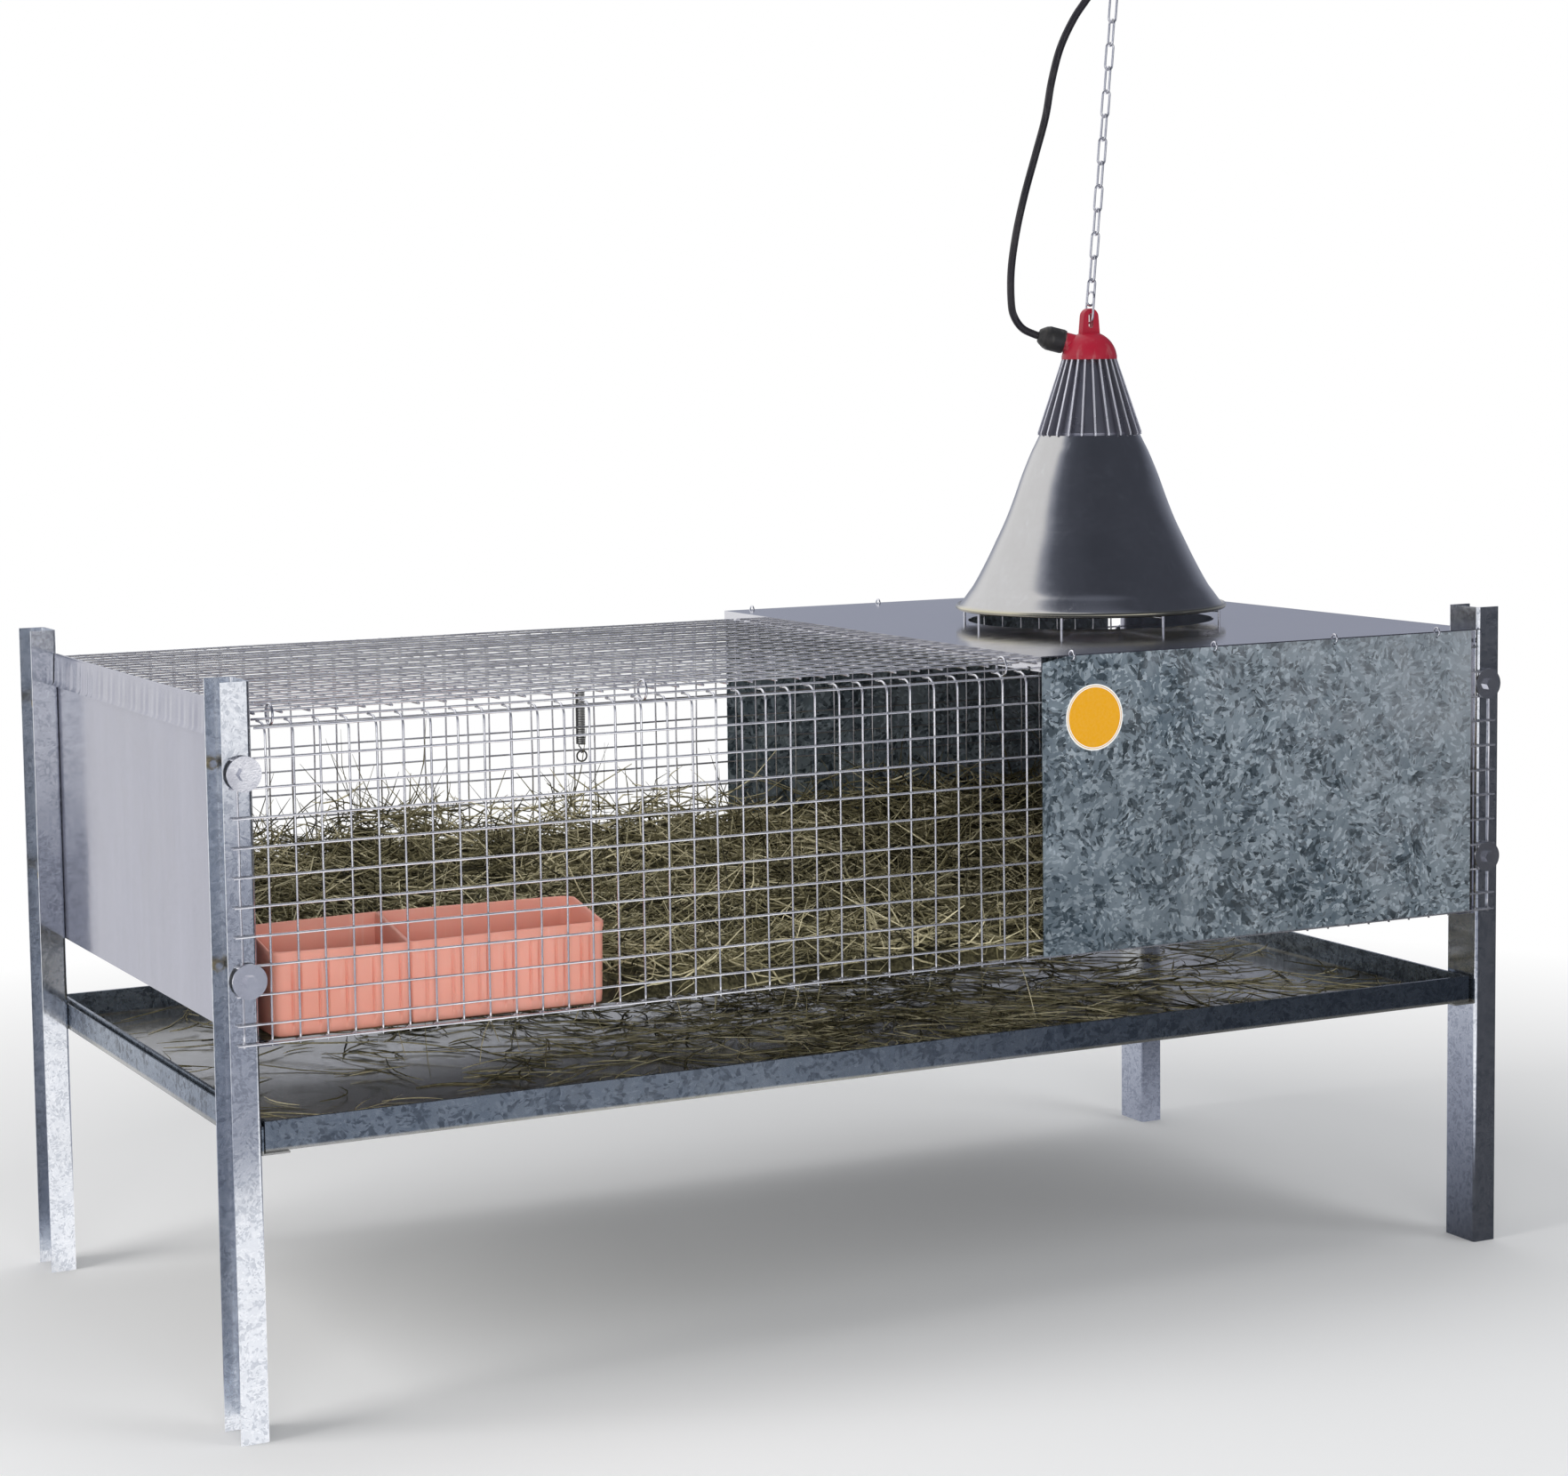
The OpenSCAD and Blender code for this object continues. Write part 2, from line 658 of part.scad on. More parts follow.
// Sideways and upward steps from the gland's root on the lamp's axis
cable_bends = [[53, 16.5], [59.5, 25.5], [62, 37], [62, 62], [58, 91], [51, 122], [42, 154], [34, 183],
    [29, 211], [22, 237], [11, 260], [-2, 279], [-10, 294]];
cable_route = concat(
    [for (a = [boss_end + seat, boss_end + gland_len / 2, boss_end + gland_len, boss_end + gland_len + 3])
        gland_line(a)],
    [for (p = cable_bends) lamp_side(p[0], p[1])],
    [lamp_side(entry_s, rose_up), lamp_side(entry_s, rose_up + 4)]);
// Smooth points between the route points
function mid_curve(a, b, c, d, t) =
    0.5 * (2 * b + (c - a) * t + (2 * a - 5 * b + 4 * c - d) * t * t + (3 * b - a - 3 * c + d) * t * t * t);
function smooth(p, n) = let (m = len(p) - 1) concat(
    [for (i = [0:m - 1], j = [0:n - 1])
        mid_curve(p[max(i - 1, 0)], p[i], p[i + 1], p[min(i + 2, m)], j / n)], [p[m]]);

module lamp_cable() color("black") tube(smooth(cable_route, 3), cable_d / 2, 10);

// Lamp holder and heat bulb inside the shade
module lamp_socket() color("white") {
    translate([lamp_x, 0, neck_z - 1])
        mirror([0, 0, 1])
            rotate_extrude() polygon([[0, 0], [20, 0], [20, 30], [17, 40], [socket_bore, 40],
                [socket_bore, 14], [0, 14]]);
}

module heat_bulb() color("mistyrose") {
    z0 = rim_z + 8;
    h = neck_z - 1 - 15 - z0;
    r = bulb_d / 2;
    translate([lamp_x, 0, z0])
        rotate_extrude() polygon([[0, 0], [0.5 * r, 0.01 * h], [0.85 * r, 0.05 * h], [0.98 * r, 0.11 * h],
            [r, 0.17 * h], [0.94 * r, 0.28 * h], [0.7 * r, 0.55 * h], [0.38 * r, 0.72 * h],
            [socket_bore - seat, 0.78 * h], [socket_bore - seat, h], [0, h]]);
}

// Level ring of wire in equal arcs
module ring_arcs(r, z, d, n) {
    for (i = [0:n - 1])
        translate([0, 0, z]) rotate([0, 0, 360 * i / n])
            rotate_extrude(angle = 360 / n - 180 * wire_gap / (PI * r)) translate([r, 0]) circle(d = d);
}

// Wire guard under the rim: its legs stand on the roof round the hole, its spokes lie under the bulb
module lamp_guard() color("silver") {
    spoke_z = rim_z - guard_wire / 2;
    inner_r = 45;
    thin = guard_wire - 0.4;
    spoke_in = inner_r + guard_wire / 2 + wire_gap;
    spoke_out = guard_r - thin / 2 - wire_gap;
    leg_low = roof_top + wire_gap;
    translate([lamp_x, 0, 0]) {
        ring_arcs(inner_r, spoke_z, guard_wire, 12);
        for (i = [0:7])
            rotate([0, 0, 45 * i]) {
                translate([spoke_in, 0, spoke_z])
                    rotate([0, 90, 0]) cylinder(h = spoke_out - spoke_in, d = thin);
                translate([guard_r, 0, leg_low]) cylinder(h = rim_z - wire_gap - leg_low, d = thin);
            }
    }
}

// One oval link, standing, its inside length along Z
module link(inside, width, wire) {
    r = width / 2 - wire / 2;
    s = inside / 2 + wire / 2 - r;
    union() {
        for (x = [-r, r])
            translate([x, 0, -s]) cylinder(h = 2 * s, d = wire);
        for (m = [0, 1])
            mirror([0, 0, m]) translate([0, 0, s])
                rotate([90, 0, 0]) rotate_extrude(angle = 180) translate([r, 0]) circle(d = wire);
    }
}

module along_chain(s) {
    translate([lamp_x, 0, eye_z + 2.2]) rotate([0, chain_lean, 0]) translate([0, 0, s]) children();
}

// Wire hook through the eye
module lamp_hook() color("silver") {
    along_chain(hook_in / 2 - hook_wire - 1.2) rotate([0, 0, 90]) link(hook_in + 3, 12.4, hook_wire);
}

// Chain of oval links, each turned a quarter from the last
module chain_links() color("silver") {
    for (i = [0:link_count - 1])
        along_chain(chain_base + i * link_step) rotate([0, 0, 90 * (i % 2)]) link(link_in, 8.4, link_wire);
}

// Ceiling rose with a ring for the chain and an entry for the cable
module ceiling_rose() color("white") {
    translate([rose_x, 0, rose_z])
        difference() {
            union() {
                cylinder(h = 16, r = rose_r);
                translate([0, 0, -rose_ring]) rotate([90, 0, 0])
                    rotate_extrude() translate([rose_ring, 0]) circle(d = rose_wire);
            }
            translate([lamp_x - rose_x + entry_s * cos(gland_turn), entry_s * sin(gland_turn), -1])
                cylinder(h = 6, d = cable_d + 4 * seat);
        }
}

post_front_left();
post_front_right();
post_rear_left();
post_rear_right();
end_panel_left();
end_panel_right();
runner_left();
runner_right();
front_mesh();
rear_mesh();
floor_mesh();
lid_mesh();
lid_hinge_rings();
latch_spring();
latch_ring();
clamp_washers();
clamp_bolts();
clamp_nuts();
shelter_front_sheet();
shelter_roof();
shelter_rear_sheet();
stitch_rings();
label_disc();
dropping_tray();
feed_trough();
hay_bedding();
lamp_shade();
lamp_fin_housing();
lamp_cap();
lamp_socket();
heat_bulb();
lamp_guard();
cable_gland();
lamp_cable();
lamp_hook();
chain_links();
ceiling_rose();
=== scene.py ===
"""Looks of a chick brooder box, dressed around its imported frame. Lengths are in metres."""

from __future__ import annotations

import logging
import math
from dataclasses import dataclass, field
from enum import Enum
from typing import Sequence

import bpy
import numpy as np
from mathutils import Matrix, Vector


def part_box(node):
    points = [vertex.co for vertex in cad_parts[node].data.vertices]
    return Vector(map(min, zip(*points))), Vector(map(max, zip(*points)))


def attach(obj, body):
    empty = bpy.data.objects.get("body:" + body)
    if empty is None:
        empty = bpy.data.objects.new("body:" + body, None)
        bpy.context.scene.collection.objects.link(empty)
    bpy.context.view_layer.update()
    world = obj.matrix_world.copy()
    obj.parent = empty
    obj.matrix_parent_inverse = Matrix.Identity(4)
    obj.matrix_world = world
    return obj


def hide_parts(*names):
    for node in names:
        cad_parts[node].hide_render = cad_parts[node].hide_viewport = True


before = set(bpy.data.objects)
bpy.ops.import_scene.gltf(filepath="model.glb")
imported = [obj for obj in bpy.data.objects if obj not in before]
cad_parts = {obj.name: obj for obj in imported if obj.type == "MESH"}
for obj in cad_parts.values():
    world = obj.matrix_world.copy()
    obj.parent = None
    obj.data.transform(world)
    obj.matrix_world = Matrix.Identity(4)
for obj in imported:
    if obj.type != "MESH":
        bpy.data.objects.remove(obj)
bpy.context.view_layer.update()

LOG = logging.getLogger("brooder")
MM = 0.001
Colour = tuple[float, float, float]


# Surfaces as whole arrays


@dataclass
class Surface:
    """Points and faces of one mesh, with an optional tone for each point.

    Each entry of faces is an array of corner numbers, one row for each face.
    """

    points: np.ndarray
    faces: list[np.ndarray]
    tone: np.ndarray | None = None

    @staticmethod
    def join(parts: Sequence["Surface"]) -> "Surface":
        """Puts several surfaces into one, each with its corner numbers moved past those before it."""
        starts = np.cumsum([0] + [len(part.points) for part in parts])
        faces = [block + start for part, start in zip(parts, starts) for block in part.faces]
        tones = None
        if all(part.tone is not None for part in parts):
            tones = np.concatenate([part.tone for part in parts])
        return Surface(np.concatenate([part.points for part in parts]), faces, tones)


def unit(v: np.ndarray) -> np.ndarray:
    """Vectors along the last axis, brought to length one."""
    return v / np.maximum(np.linalg.norm(v, axis=-1, keepdims=True), 1e-12)


def grid_quads(rows: int, cols: int, close_rows: bool = False, close_cols: bool = False) -> np.ndarray:
    """Four-sided faces of a grid of points that is numbered row by row.

    Args:
        rows: Number of rows of points.
        cols: Number of points in a row.
        close_rows: Whether the last row joins the first.
        close_cols: Whether the end of each row joins its start.

    Returns:
        One row of four corner numbers for each face.
    """
    r = np.arange(rows if close_rows else rows - 1)[:, None]
    c = np.arange(cols if close_cols else cols - 1)[None, :]
    below = (r % rows) * cols
    above = ((r + 1) % rows) * cols
    here, right = c % cols, (c + 1) % cols
    return np.stack([below + here, below + right, above + right, above + here], axis=-1).reshape(-1, 4)


def wires(paths: np.ndarray, radius: float | np.ndarray, sides: int, across: Sequence[float]) -> Surface:
    """Round wires along paths: at each path point, a ring of the radius in the plane square to the path.

    A ring point is the path point plus radius times (cos a * side + sin a * lift), where side is square
    to the path and to the direction across, and lift is square to both.

    Args:
        paths: Points of shape (wires, points, 3).
        radius: One radius, or an array that can be spread over (wires, points).
        sides: Corners of each ring.
        across: A direction that no path runs along.

    Returns:
        One surface with closed ends.
    """
    count, steps, _ = paths.shape
    along = unit(np.gradient(paths, axis=1))
    side = unit(np.cross(along, np.asarray(across, float)))
    lift = np.cross(along, side)
    angle = 2 * math.pi * np.arange(sides) / sides
    ring = np.cos(angle)[:, None] * side[:, :, None, :] + np.sin(angle)[:, None] * lift[:, :, None, :]
    reach = np.broadcast_to(radius, (count, steps))[:, :, None, None]
    points = paths[:, :, None, :] + reach * ring
    shift = (np.arange(count) * steps * sides)[:, None, None]
    wall = (grid_quads(steps, sides, close_cols=True)[None] + shift).reshape(-1, 4)
    first = (np.arange(sides)[::-1][None, None] + shift).reshape(-1, sides)
    last = (np.arange(sides)[None, None] + (steps - 1) * sides + shift).reshape(-1, sides)
    return Surface(points.reshape(-1, 3), [wall, first, last])


def turned(profile: np.ndarray, centre: Sequence[float], segments: int) -> Surface:
    """A closed profile of (radius, height) points carried round an upright axis.

    Args:
        profile: Points of shape (n, 2), running anticlockwise seen with the radius to the right.
        centre: Point on the axis that radius and height are measured from.
        segments: Steps in the full turn.

    Returns:
        A closed ring-shaped surface.
    """
    angle = 2 * math.pi * np.arange(segments) / segments
    r, z = profile[:, 0][None], profile[:, 1][None]
    points = np.stack([r * np.cos(angle)[:, None], r * np.sin(angle)[:, None], z + 0 * angle[:, None]], -1)
    points = points + np.asarray(centre, float)
    faces = grid_quads(segments, len(profile), close_rows=True, close_cols=True)[:, ::-1]
    return Surface(points.reshape(-1, 3), [faces])


def smooth_line(points: np.ndarray, steps: int) -> np.ndarray:
    """Smooth line through points: on each stretch, the cubic whose ends follow the neighbouring points.

    Args:
        points: Points of shape (n, d).
        steps: Steps on each stretch.

    Returns:
        Points of shape ((n - 1) * steps + 1, d).
    """
    p = np.concatenate([points[:1], points, points[-1:]])
    a, b, c, d = p[:-3, None], p[1:-2, None], p[2:-1, None], p[3:, None]
    t = (np.arange(steps) / steps)[None, :, None]
    line = 0.5 * (2 * b + (c - a) * t + (2 * a - 5 * b + 4 * c - d) * t**2 + (3 * b - a - 3 * c + d) * t**3)
    return np.concatenate([line.reshape(-1, points.shape[1]), points[-1:]])


def beads(centres: np.ndarray, half: Sequence[float]) -> Surface:
    """Small eight-sided beads, one at each centre: the six points half away along the axes.

    Args:
        centres: Points of shape (n, 3).
        half: Half sizes along X, Y and Z.

    Returns:
        One surface with eight triangles for each bead.
    """
    tips = np.array([[1, 0, 0], [-1, 0, 0], [0, 1, 0], [0, -1, 0], [0, 0, 1], [0, 0, -1]], float)
    points = centres[:, None] + tips[None] * np.asarray(half, float)
    upper = [[0, 2, 4], [2, 1, 4], [1, 3, 4], [3, 0, 4]]
    lower = [[2, 0, 5], [1, 2, 5], [3, 1, 5], [0, 3, 5]]
    corners = np.array(upper + lower)
    faces = corners[None] + (np.arange(len(centres)) * len(tips))[:, None, None]
    return Surface(points.reshape(-1, 3), [faces.reshape(-1, 3)])


# Node sketches and shared effects


class NodeSketch:
    """Short calls that add nodes to one node tree and wire them."""

    def __init__(self, tree: bpy.types.NodeTree) -> None:
        """Keeps the tree that the nodes go into."""
        self.tree = tree

    def add(self, kind: str, inputs: dict | None = None, **settings: object) -> bpy.types.Node:
        """Adds a node.

        Args:
            kind: Blender's name for the node type.
            inputs: Values or output sockets for its inputs, by socket name or number.
            **settings: Properties of the node.

        Returns:
            The node.
        """
        node = self.tree.nodes.new(kind)
        for name, value in settings.items():
            setattr(node, name, value)
        for key, value in (inputs or {}).items():
            if isinstance(value, bpy.types.NodeSocket):
                self.tree.links.new(value, node.inputs[key])
            else:
                node.inputs[key].default_value = value
        return node

    def math(self, operation: str, a: object, b: object = 0.0) -> bpy.types.NodeSocket:
        """Result of one sum on two values."""
        return self.add("ShaderNodeMath", {0: a, 1: b}, operation=operation).outputs[0]

    def vector(self, operation: str, a: object, b: object) -> bpy.types.NodeSocket:
        """Result of one sum on two vectors."""
        return self.add("ShaderNodeVectorMath", {0: a, 1: b}, operation=operation).outputs[0]

    def spread(self, value: object, low: float, high: float, to_low: float,
               to_high: float) -> bpy.types.NodeSocket:
        """Value from low to high, moved to the range to_low to to_high and held there."""
        inputs = {"Value": value, "From Min": low, "From Max": high, "To Min": to_low, "To Max": to_high}
        return self.add("ShaderNodeMapRange", inputs, clamp=True).outputs[0]

    def mix(self, factor: object, a: object, b: object) -> bpy.types.NodeSocket:
        """Colour a mixed with colour b by the factor."""
        node = self.add("ShaderNodeMix", {0: factor}, data_type="RGBA")
        for number, colour in ((6, a), (7, b)):
            if isinstance(colour, bpy.types.NodeSocket):
                self.tree.links.new(colour, node.inputs[number])
            else:
                node.inputs[number].default_value = (*colour, 1.0)
        return node.outputs[2]

    def ramp(self, value: object, stops: Sequence[tuple[float, Colour]]) -> bpy.types.NodeSocket:
        """Colour picked from stops by a value from 0 to 1."""
        node = self.add("ShaderNodeValToRGB", {0: value})
        elements = node.color_ramp.elements
        while len(elements) < len(stops):
            elements.new(0.5)
        for element, (place, colour) in zip(elements, stops):
            element.position = place
            element.color = (*colour, 1.0)
        return node.outputs[0]

    def noise(self, vector: object, scale: object, detail: float = 2.0, rough: float = 0.5,
              distortion: float = 0.0) -> bpy.types.Node:
        """Noise over three directions."""
        inputs = {"Vector": vector, "Scale": scale, "Detail": detail, "Roughness": rough,
                  "Distortion": distortion}
        return self.add("ShaderNodeTexNoise", inputs)


class Effect(Enum):
    """Effects that several finishes share, each one shader node group."""

    SPANGLE = "zinc_spangle"
    SCUFF = "fine_scuffs"
    DUST = "settled_dust"


class EffectShelf:
    """Builds each shared effect once and hands it to the finishes."""

    def __init__(self) -> None:
        """Starts with nothing built."""
        self.built: dict[Effect, bpy.types.NodeTree] = {}

    def get(self, effect: Effect) -> bpy.types.NodeTree:
        """The node group of an effect, built on first use."""
        if effect not in self.built:
            makers = {Effect.SPANGLE: self.spangle, Effect.SCUFF: self.scuff, Effect.DUST: self.dust}
            self.built[effect] = makers[effect]()
        return self.built[effect]

    @staticmethod
    def blank(effect: Effect, numbers: Sequence[str],
              outputs: Sequence[str]) -> tuple[NodeSketch, dict, dict]:
        """A new group with a Vector input, number inputs and number outputs.

        Args:
            effect: The effect that names the group.
            numbers: Names of the number inputs.
            outputs: Names of the number outputs.

        Returns:
            The sketch, the group's input sockets by name and its output sockets by name.
        """
        tree = bpy.data.node_groups.new(effect.value, "ShaderNodeTree")
        tree.interface.new_socket("Vector", in_out="INPUT", socket_type="NodeSocketVector")
        for name in numbers:
            tree.interface.new_socket(name, in_out="INPUT", socket_type="NodeSocketFloat")
        for name in outputs:
            tree.interface.new_socket(name, in_out="OUTPUT", socket_type="NodeSocketFloat")
        sketch = NodeSketch(tree)
        ins = sketch.add("NodeGroupInput").outputs
        outs = sketch.add("NodeGroupOutput").inputs
        return sketch, {socket.name: socket for socket in ins}, {socket.name: socket for socket in outs}

    def spangle(self) -> bpy.types.NodeTree:
        """Zinc crystals: grains, each turned its own way, cut into angular flakes of differing tone.

        A grain's own random colour turns the coordinates before they are cut into flat cells, so the cells of
        one grain lie one way. The darkest and palest cells become masks, more of them in dense patches.
        """
        sketch, ins, outs = self.blank(Effect.SPANGLE, ["Scale", "Grain", "Patch"],
                                       ["Flake", "Dark", "Pale", "Cloud"])
        ragged = sketch.noise(ins["Vector"], ins["Scale"], 2.0, 0.6)
        push = sketch.vector("SUBTRACT", ragged.outputs["Color"], (0.5, 0.5, 0.5))
        reach = sketch.math("DIVIDE", 0.5, ins["Scale"])
        push = sketch.add("ShaderNodeVectorMath", {0: push, "Scale": reach}, operation="SCALE").outputs[0]
        moved = sketch.vector("ADD", ins["Vector"], push)
        grains = sketch.add("ShaderNodeTexVoronoi", {"Vector": moved, "Scale": ins["Grain"]})
        turn = sketch.vector("MULTIPLY", grains.outputs["Color"], (6.283, 6.283, 6.283))
        rotated = sketch.add("ShaderNodeVectorRotate", {"Vector": moved, "Rotation": turn},
                             rotation_type="EULER_XYZ")
        flat = sketch.vector("MULTIPLY", rotated.outputs[0], (1.0, 0.42, 0.42))
        cells = []
        for times in (1.0, 2.0):
            scale = sketch.math("MULTIPLY", ins["Scale"], times)
            cut = sketch.add("ShaderNodeTexVoronoi", {"Vector": flat, "Scale": scale}, distance="MANHATTAN")
            cells.append(sketch.add("ShaderNodeSeparateColor", {0: cut.outputs["Color"]}).outputs)
        big, small = cells
        cloud_scale = sketch.math("MULTIPLY", ins["Patch"], 0.375)
        cloud = sketch.noise(ins["Vector"], cloud_scale, 3.0, 0.6).outputs[0]
        patch = sketch.noise(ins["Vector"], ins["Patch"], 2.0, 0.6).outputs[0]
        dense = sketch.spread(patch, 0.36, 0.64, -0.20, 0.14)
        flake = sketch.math("ADD", sketch.math("MULTIPLY", big[1], 0.55),
                            sketch.math("MULTIPLY", small[1], 0.45))
        wide = sketch.spread(sketch.math("ADD", big[0], dense), 0.74, 0.80, 0.0, 1.0)
        wide = sketch.math("MULTIPLY", wide, sketch.spread(small[2], 0.1, 0.9, 0.45, 1.0))
        thin = sketch.spread(sketch.math("ADD", small[0], dense), 0.82, 0.86, 0.0, 0.75)
        broad = sketch.spread(big[2], 0.78, 0.90, 0.0, 0.6)
        pale = sketch.math("MAXIMUM", broad, sketch.spread(small[2], 0.76, 0.88, 0.0, 1.0))
        shown = (("Flake", flake), ("Dark", sketch.math("MAXIMUM", wide, thin)), ("Pale", pale),
                 ("Cloud", sketch.spread(cloud, 0.3, 0.7, 0.0, 1.0)))
        for name, socket in shown:
            sketch.tree.links.new(socket, outs[name])
        return sketch.tree

    def scuff(self) -> bpy.types.NodeTree:
        """Fine scuffs: noise drawn out along one direction and cut to thin lines, only in some patches."""
        sketch, ins, outs = self.blank(Effect.SCUFF, ["Scale", "Amount"], ["Mask"])
        drawn = sketch.vector("MULTIPLY", ins["Vector"], (1.0, 1.0, 0.06))
        lines = sketch.noise(drawn, sketch.math("MULTIPLY", ins["Scale"], 6.0), 3.0, 0.6, 0.4)
        patches = sketch.noise(ins["Vector"], ins["Scale"], 2.0)
        thin = sketch.spread(lines.outputs[0], 0.56, 0.66, 0.0, 1.0)
        where = sketch.spread(patches.outputs[0], 0.45, 0.65, 0.0, 1.0)
        mask = sketch.math("MULTIPLY", sketch.math("MULTIPLY", thin, where), ins["Amount"])
        sketch.tree.links.new(mask, outs["Mask"])
        return sketch.tree

    def dust(self) -> bpy.types.NodeTree:
        """Settled dust: blotches of two sizes multiplied together."""
        sketch, ins, outs = self.blank(Effect.DUST, ["Scale", "Amount"], ["Mask"])
        broad = sketch.noise(ins["Vector"], ins["Scale"], 4.0, 0.6)
        fine = sketch.noise(ins["Vector"], sketch.math("MULTIPLY", ins["Scale"], 9.0), 2.0)
        wide = sketch.spread(broad.outputs[0], 0.42, 0.68, 0.0, 1.0)
        specks = sketch.spread(fine.outputs[0], 0.35, 0.7, 0.35, 1.0)
        mask = sketch.math("MULTIPLY", sketch.math("MULTIPLY", wide, specks), ins["Amount"])
        sketch.tree.links.new(mask, outs["Mask"])
        return sketch.tree


SHELF = EffectShelf()


class Material:
    """One material in the making: a Principled shader, Object coordinates and a sketch."""

    def __init__(self, name: str, **sockets: object) -> None:
        """Makes the material and sets the shader's constant sockets.

        Args:
            name: The material's name.
            **sockets: Constant values by socket name, with underscores for spaces.
        """
        self.block = bpy.data.materials.new(name)
        self.block.use_nodes = True
        tree = self.block.node_tree
        tree.nodes.clear()
        self.sketch = NodeSketch(tree)
        self.shader = self.sketch.add("ShaderNodeBsdfPrincipled")
        out = self.sketch.add("ShaderNodeOutputMaterial")
        tree.links.new(self.shader.outputs[0], out.inputs["Surface"])
        self.coords = self.sketch.add("ShaderNodeTexCoord").outputs["Object"]
        for key, value in sockets.items():
            self.shader.inputs[key.replace("_", " ")].default_value = value

    def effect(self, effect: Effect, **numbers: float) -> dict[str, bpy.types.NodeSocket]:
        """Places a shared effect on Object coordinates and returns its outputs by name."""
        node = self.sketch.add("ShaderNodeGroup", node_tree=SHELF.get(effect))
        self.sketch.tree.links.new(self.coords, node.inputs["Vector"])
        for name, value in numbers.items():
            node.inputs[name].default_value = value
        return {socket.name: socket for socket in node.outputs}

    def feed(self, **sockets: bpy.types.NodeSocket) -> None:
        """Links sockets to the shader's inputs, by name with underscores for spaces."""
        for name, socket in sockets.items():
            self.sketch.tree.links.new(socket, self.shader.inputs[name.replace("_", " ")])

    def bump(self, height: bpy.types.NodeSocket, strength: float, distance: float) -> None:
        """Raises the surface by a height, from 0 to distance."""
        inputs = {"Height": height, "Strength": strength, "Distance": distance}
        node = self.sketch.add("ShaderNodeBump", inputs)
        self.feed(Normal=node.outputs[0])


# Finishes


@dataclass(frozen=True)
class ZincFinish:
    """Hot-dip zinc on sheet steel: crystal flakes of several tones, clouds, wear and slight waves."""

    name: str
    dark: Colour
    middle: Colour
    pale: Colour
    scale: float = 300.0
    grain: float = 30.0
    patch: float = 48.0
    dark_share: float = 0.8
    pale_share: float = 0.5
    cloud: float = 0.6
    metal: float = 0.8
    rough: tuple[float, float] = (0.3, 0.48)
    waves: float = 0.25
    dust: float = 0.12
    scuffs: float = 0.15
    streaks: float = 0.0

    def coat(self, made: Material) -> tuple[bpy.types.NodeSocket, bpy.types.NodeSocket]:
        """Colour and roughness of the zinc.

        Args:
            made: The material that the nodes go into.

        Returns:
            The colour and the roughness.
        """
        sketch = made.sketch
        zinc = made.effect(Effect.SPANGLE, Scale=self.scale, Grain=self.grain, Patch=self.patch)
        scuffs = made.effect(Effect.SCUFF, Scale=14.0, Amount=self.scuffs)
        dust = made.effect(Effect.DUST, Scale=7.0, Amount=self.dust)
        light = sketch.mix(0.55, self.middle, self.pale)
        drawn = sketch.vector("MULTIPLY", made.coords, (1.0, 1.0, 0.1))
        streak = sketch.noise(drawn, 42.0, 4.0, 0.6).outputs[0]
        colour = sketch.mix(sketch.math("MULTIPLY", zinc["Cloud"], self.cloud), self.middle, light)
        colour = sketch.mix(sketch.spread(zinc["Flake"], 0.2, 0.8, 0.0, 0.3), colour, light)
        colour = sketch.mix(sketch.math("MULTIPLY", zinc["Pale"], self.pale_share), colour, self.pale)
        colour = sketch.mix(sketch.math("MULTIPLY", zinc["Dark"], self.dark_share), colour, self.dark)
        colour = sketch.mix(sketch.spread(streak, 0.45, 0.7, 0.0, self.streaks), colour, self.pale)
        colour = sketch.mix(scuffs["Mask"], colour, self.pale)
        colour = sketch.mix(dust["Mask"], colour, (0.42, 0.40, 0.36))
        rough = sketch.spread(zinc["Flake"], 0.1, 0.9, *self.rough)
        rough = sketch.math("ADD", rough, sketch.math("MULTIPLY", dust["Mask"], 0.3))
        wave = sketch.noise(made.coords, 9.0, 1.0).outputs[0]
        height = sketch.math("ADD", wave, sketch.math("MULTIPLY", zinc["Flake"], 0.006))
        made.bump(height, self.waves, 0.004)
        return colour, rough

    def material(self) -> bpy.types.Material:
        """Builds the material."""
        made = Material(self.name, Metallic=self.metal)
        colour, rough = self.coat(made)
        made.feed(Base_Color=colour, Roughness=rough)
        return made.block


@dataclass(frozen=True)
class SheetFinish(ZincFinish):
    """Spangled zinc sheet with painted shade at the bottom left and a painted highlight at the top right."""

    # Colours of the painted highlight towards the top right and of the painted shade towards the bottom left
    painted_highlight: Colour = (0.60, 0.64, 0.68)
    shade: Colour = (0.05, 0.078, 0.10)

    def material(self) -> bpy.types.Material:
        """Builds the material: painted shade and highlight go by the place along and up the sheet, ruffled by
        noise.
        """
        made = Material(self.name, Metallic=self.metal)
        sketch = made.sketch
        colour, rough = self.coat(made)
        low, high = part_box("shelter_front_sheet")
        axes = sketch.add("ShaderNodeSeparateXYZ", {0: made.coords}).outputs
        along = sketch.spread(axes[0], low.x, high.x, 0.0, 0.6)
        up = sketch.spread(axes[2], low.z, high.z, 0.0, 0.4)
        ruffle = sketch.noise(made.coords, 26.0, 5.0, 0.65).outputs[0]
        spot = sketch.math("ADD", sketch.math("ADD", along, up),
                           sketch.spread(ruffle, 0.3, 0.7, -0.22, 0.22))
        # Painted shade towards the left end and bottom, painted highlight towards the top on the right
        colour = sketch.mix(sketch.spread(spot, 0.0, 0.45, 0.45, 0.0), colour, self.shade)
        colour = sketch.mix(sketch.spread(spot, 0.5, 1.1, 0.0, 0.65), colour, self.painted_highlight)
        made.feed(Base_Color=colour, Roughness=rough)
        return made.block


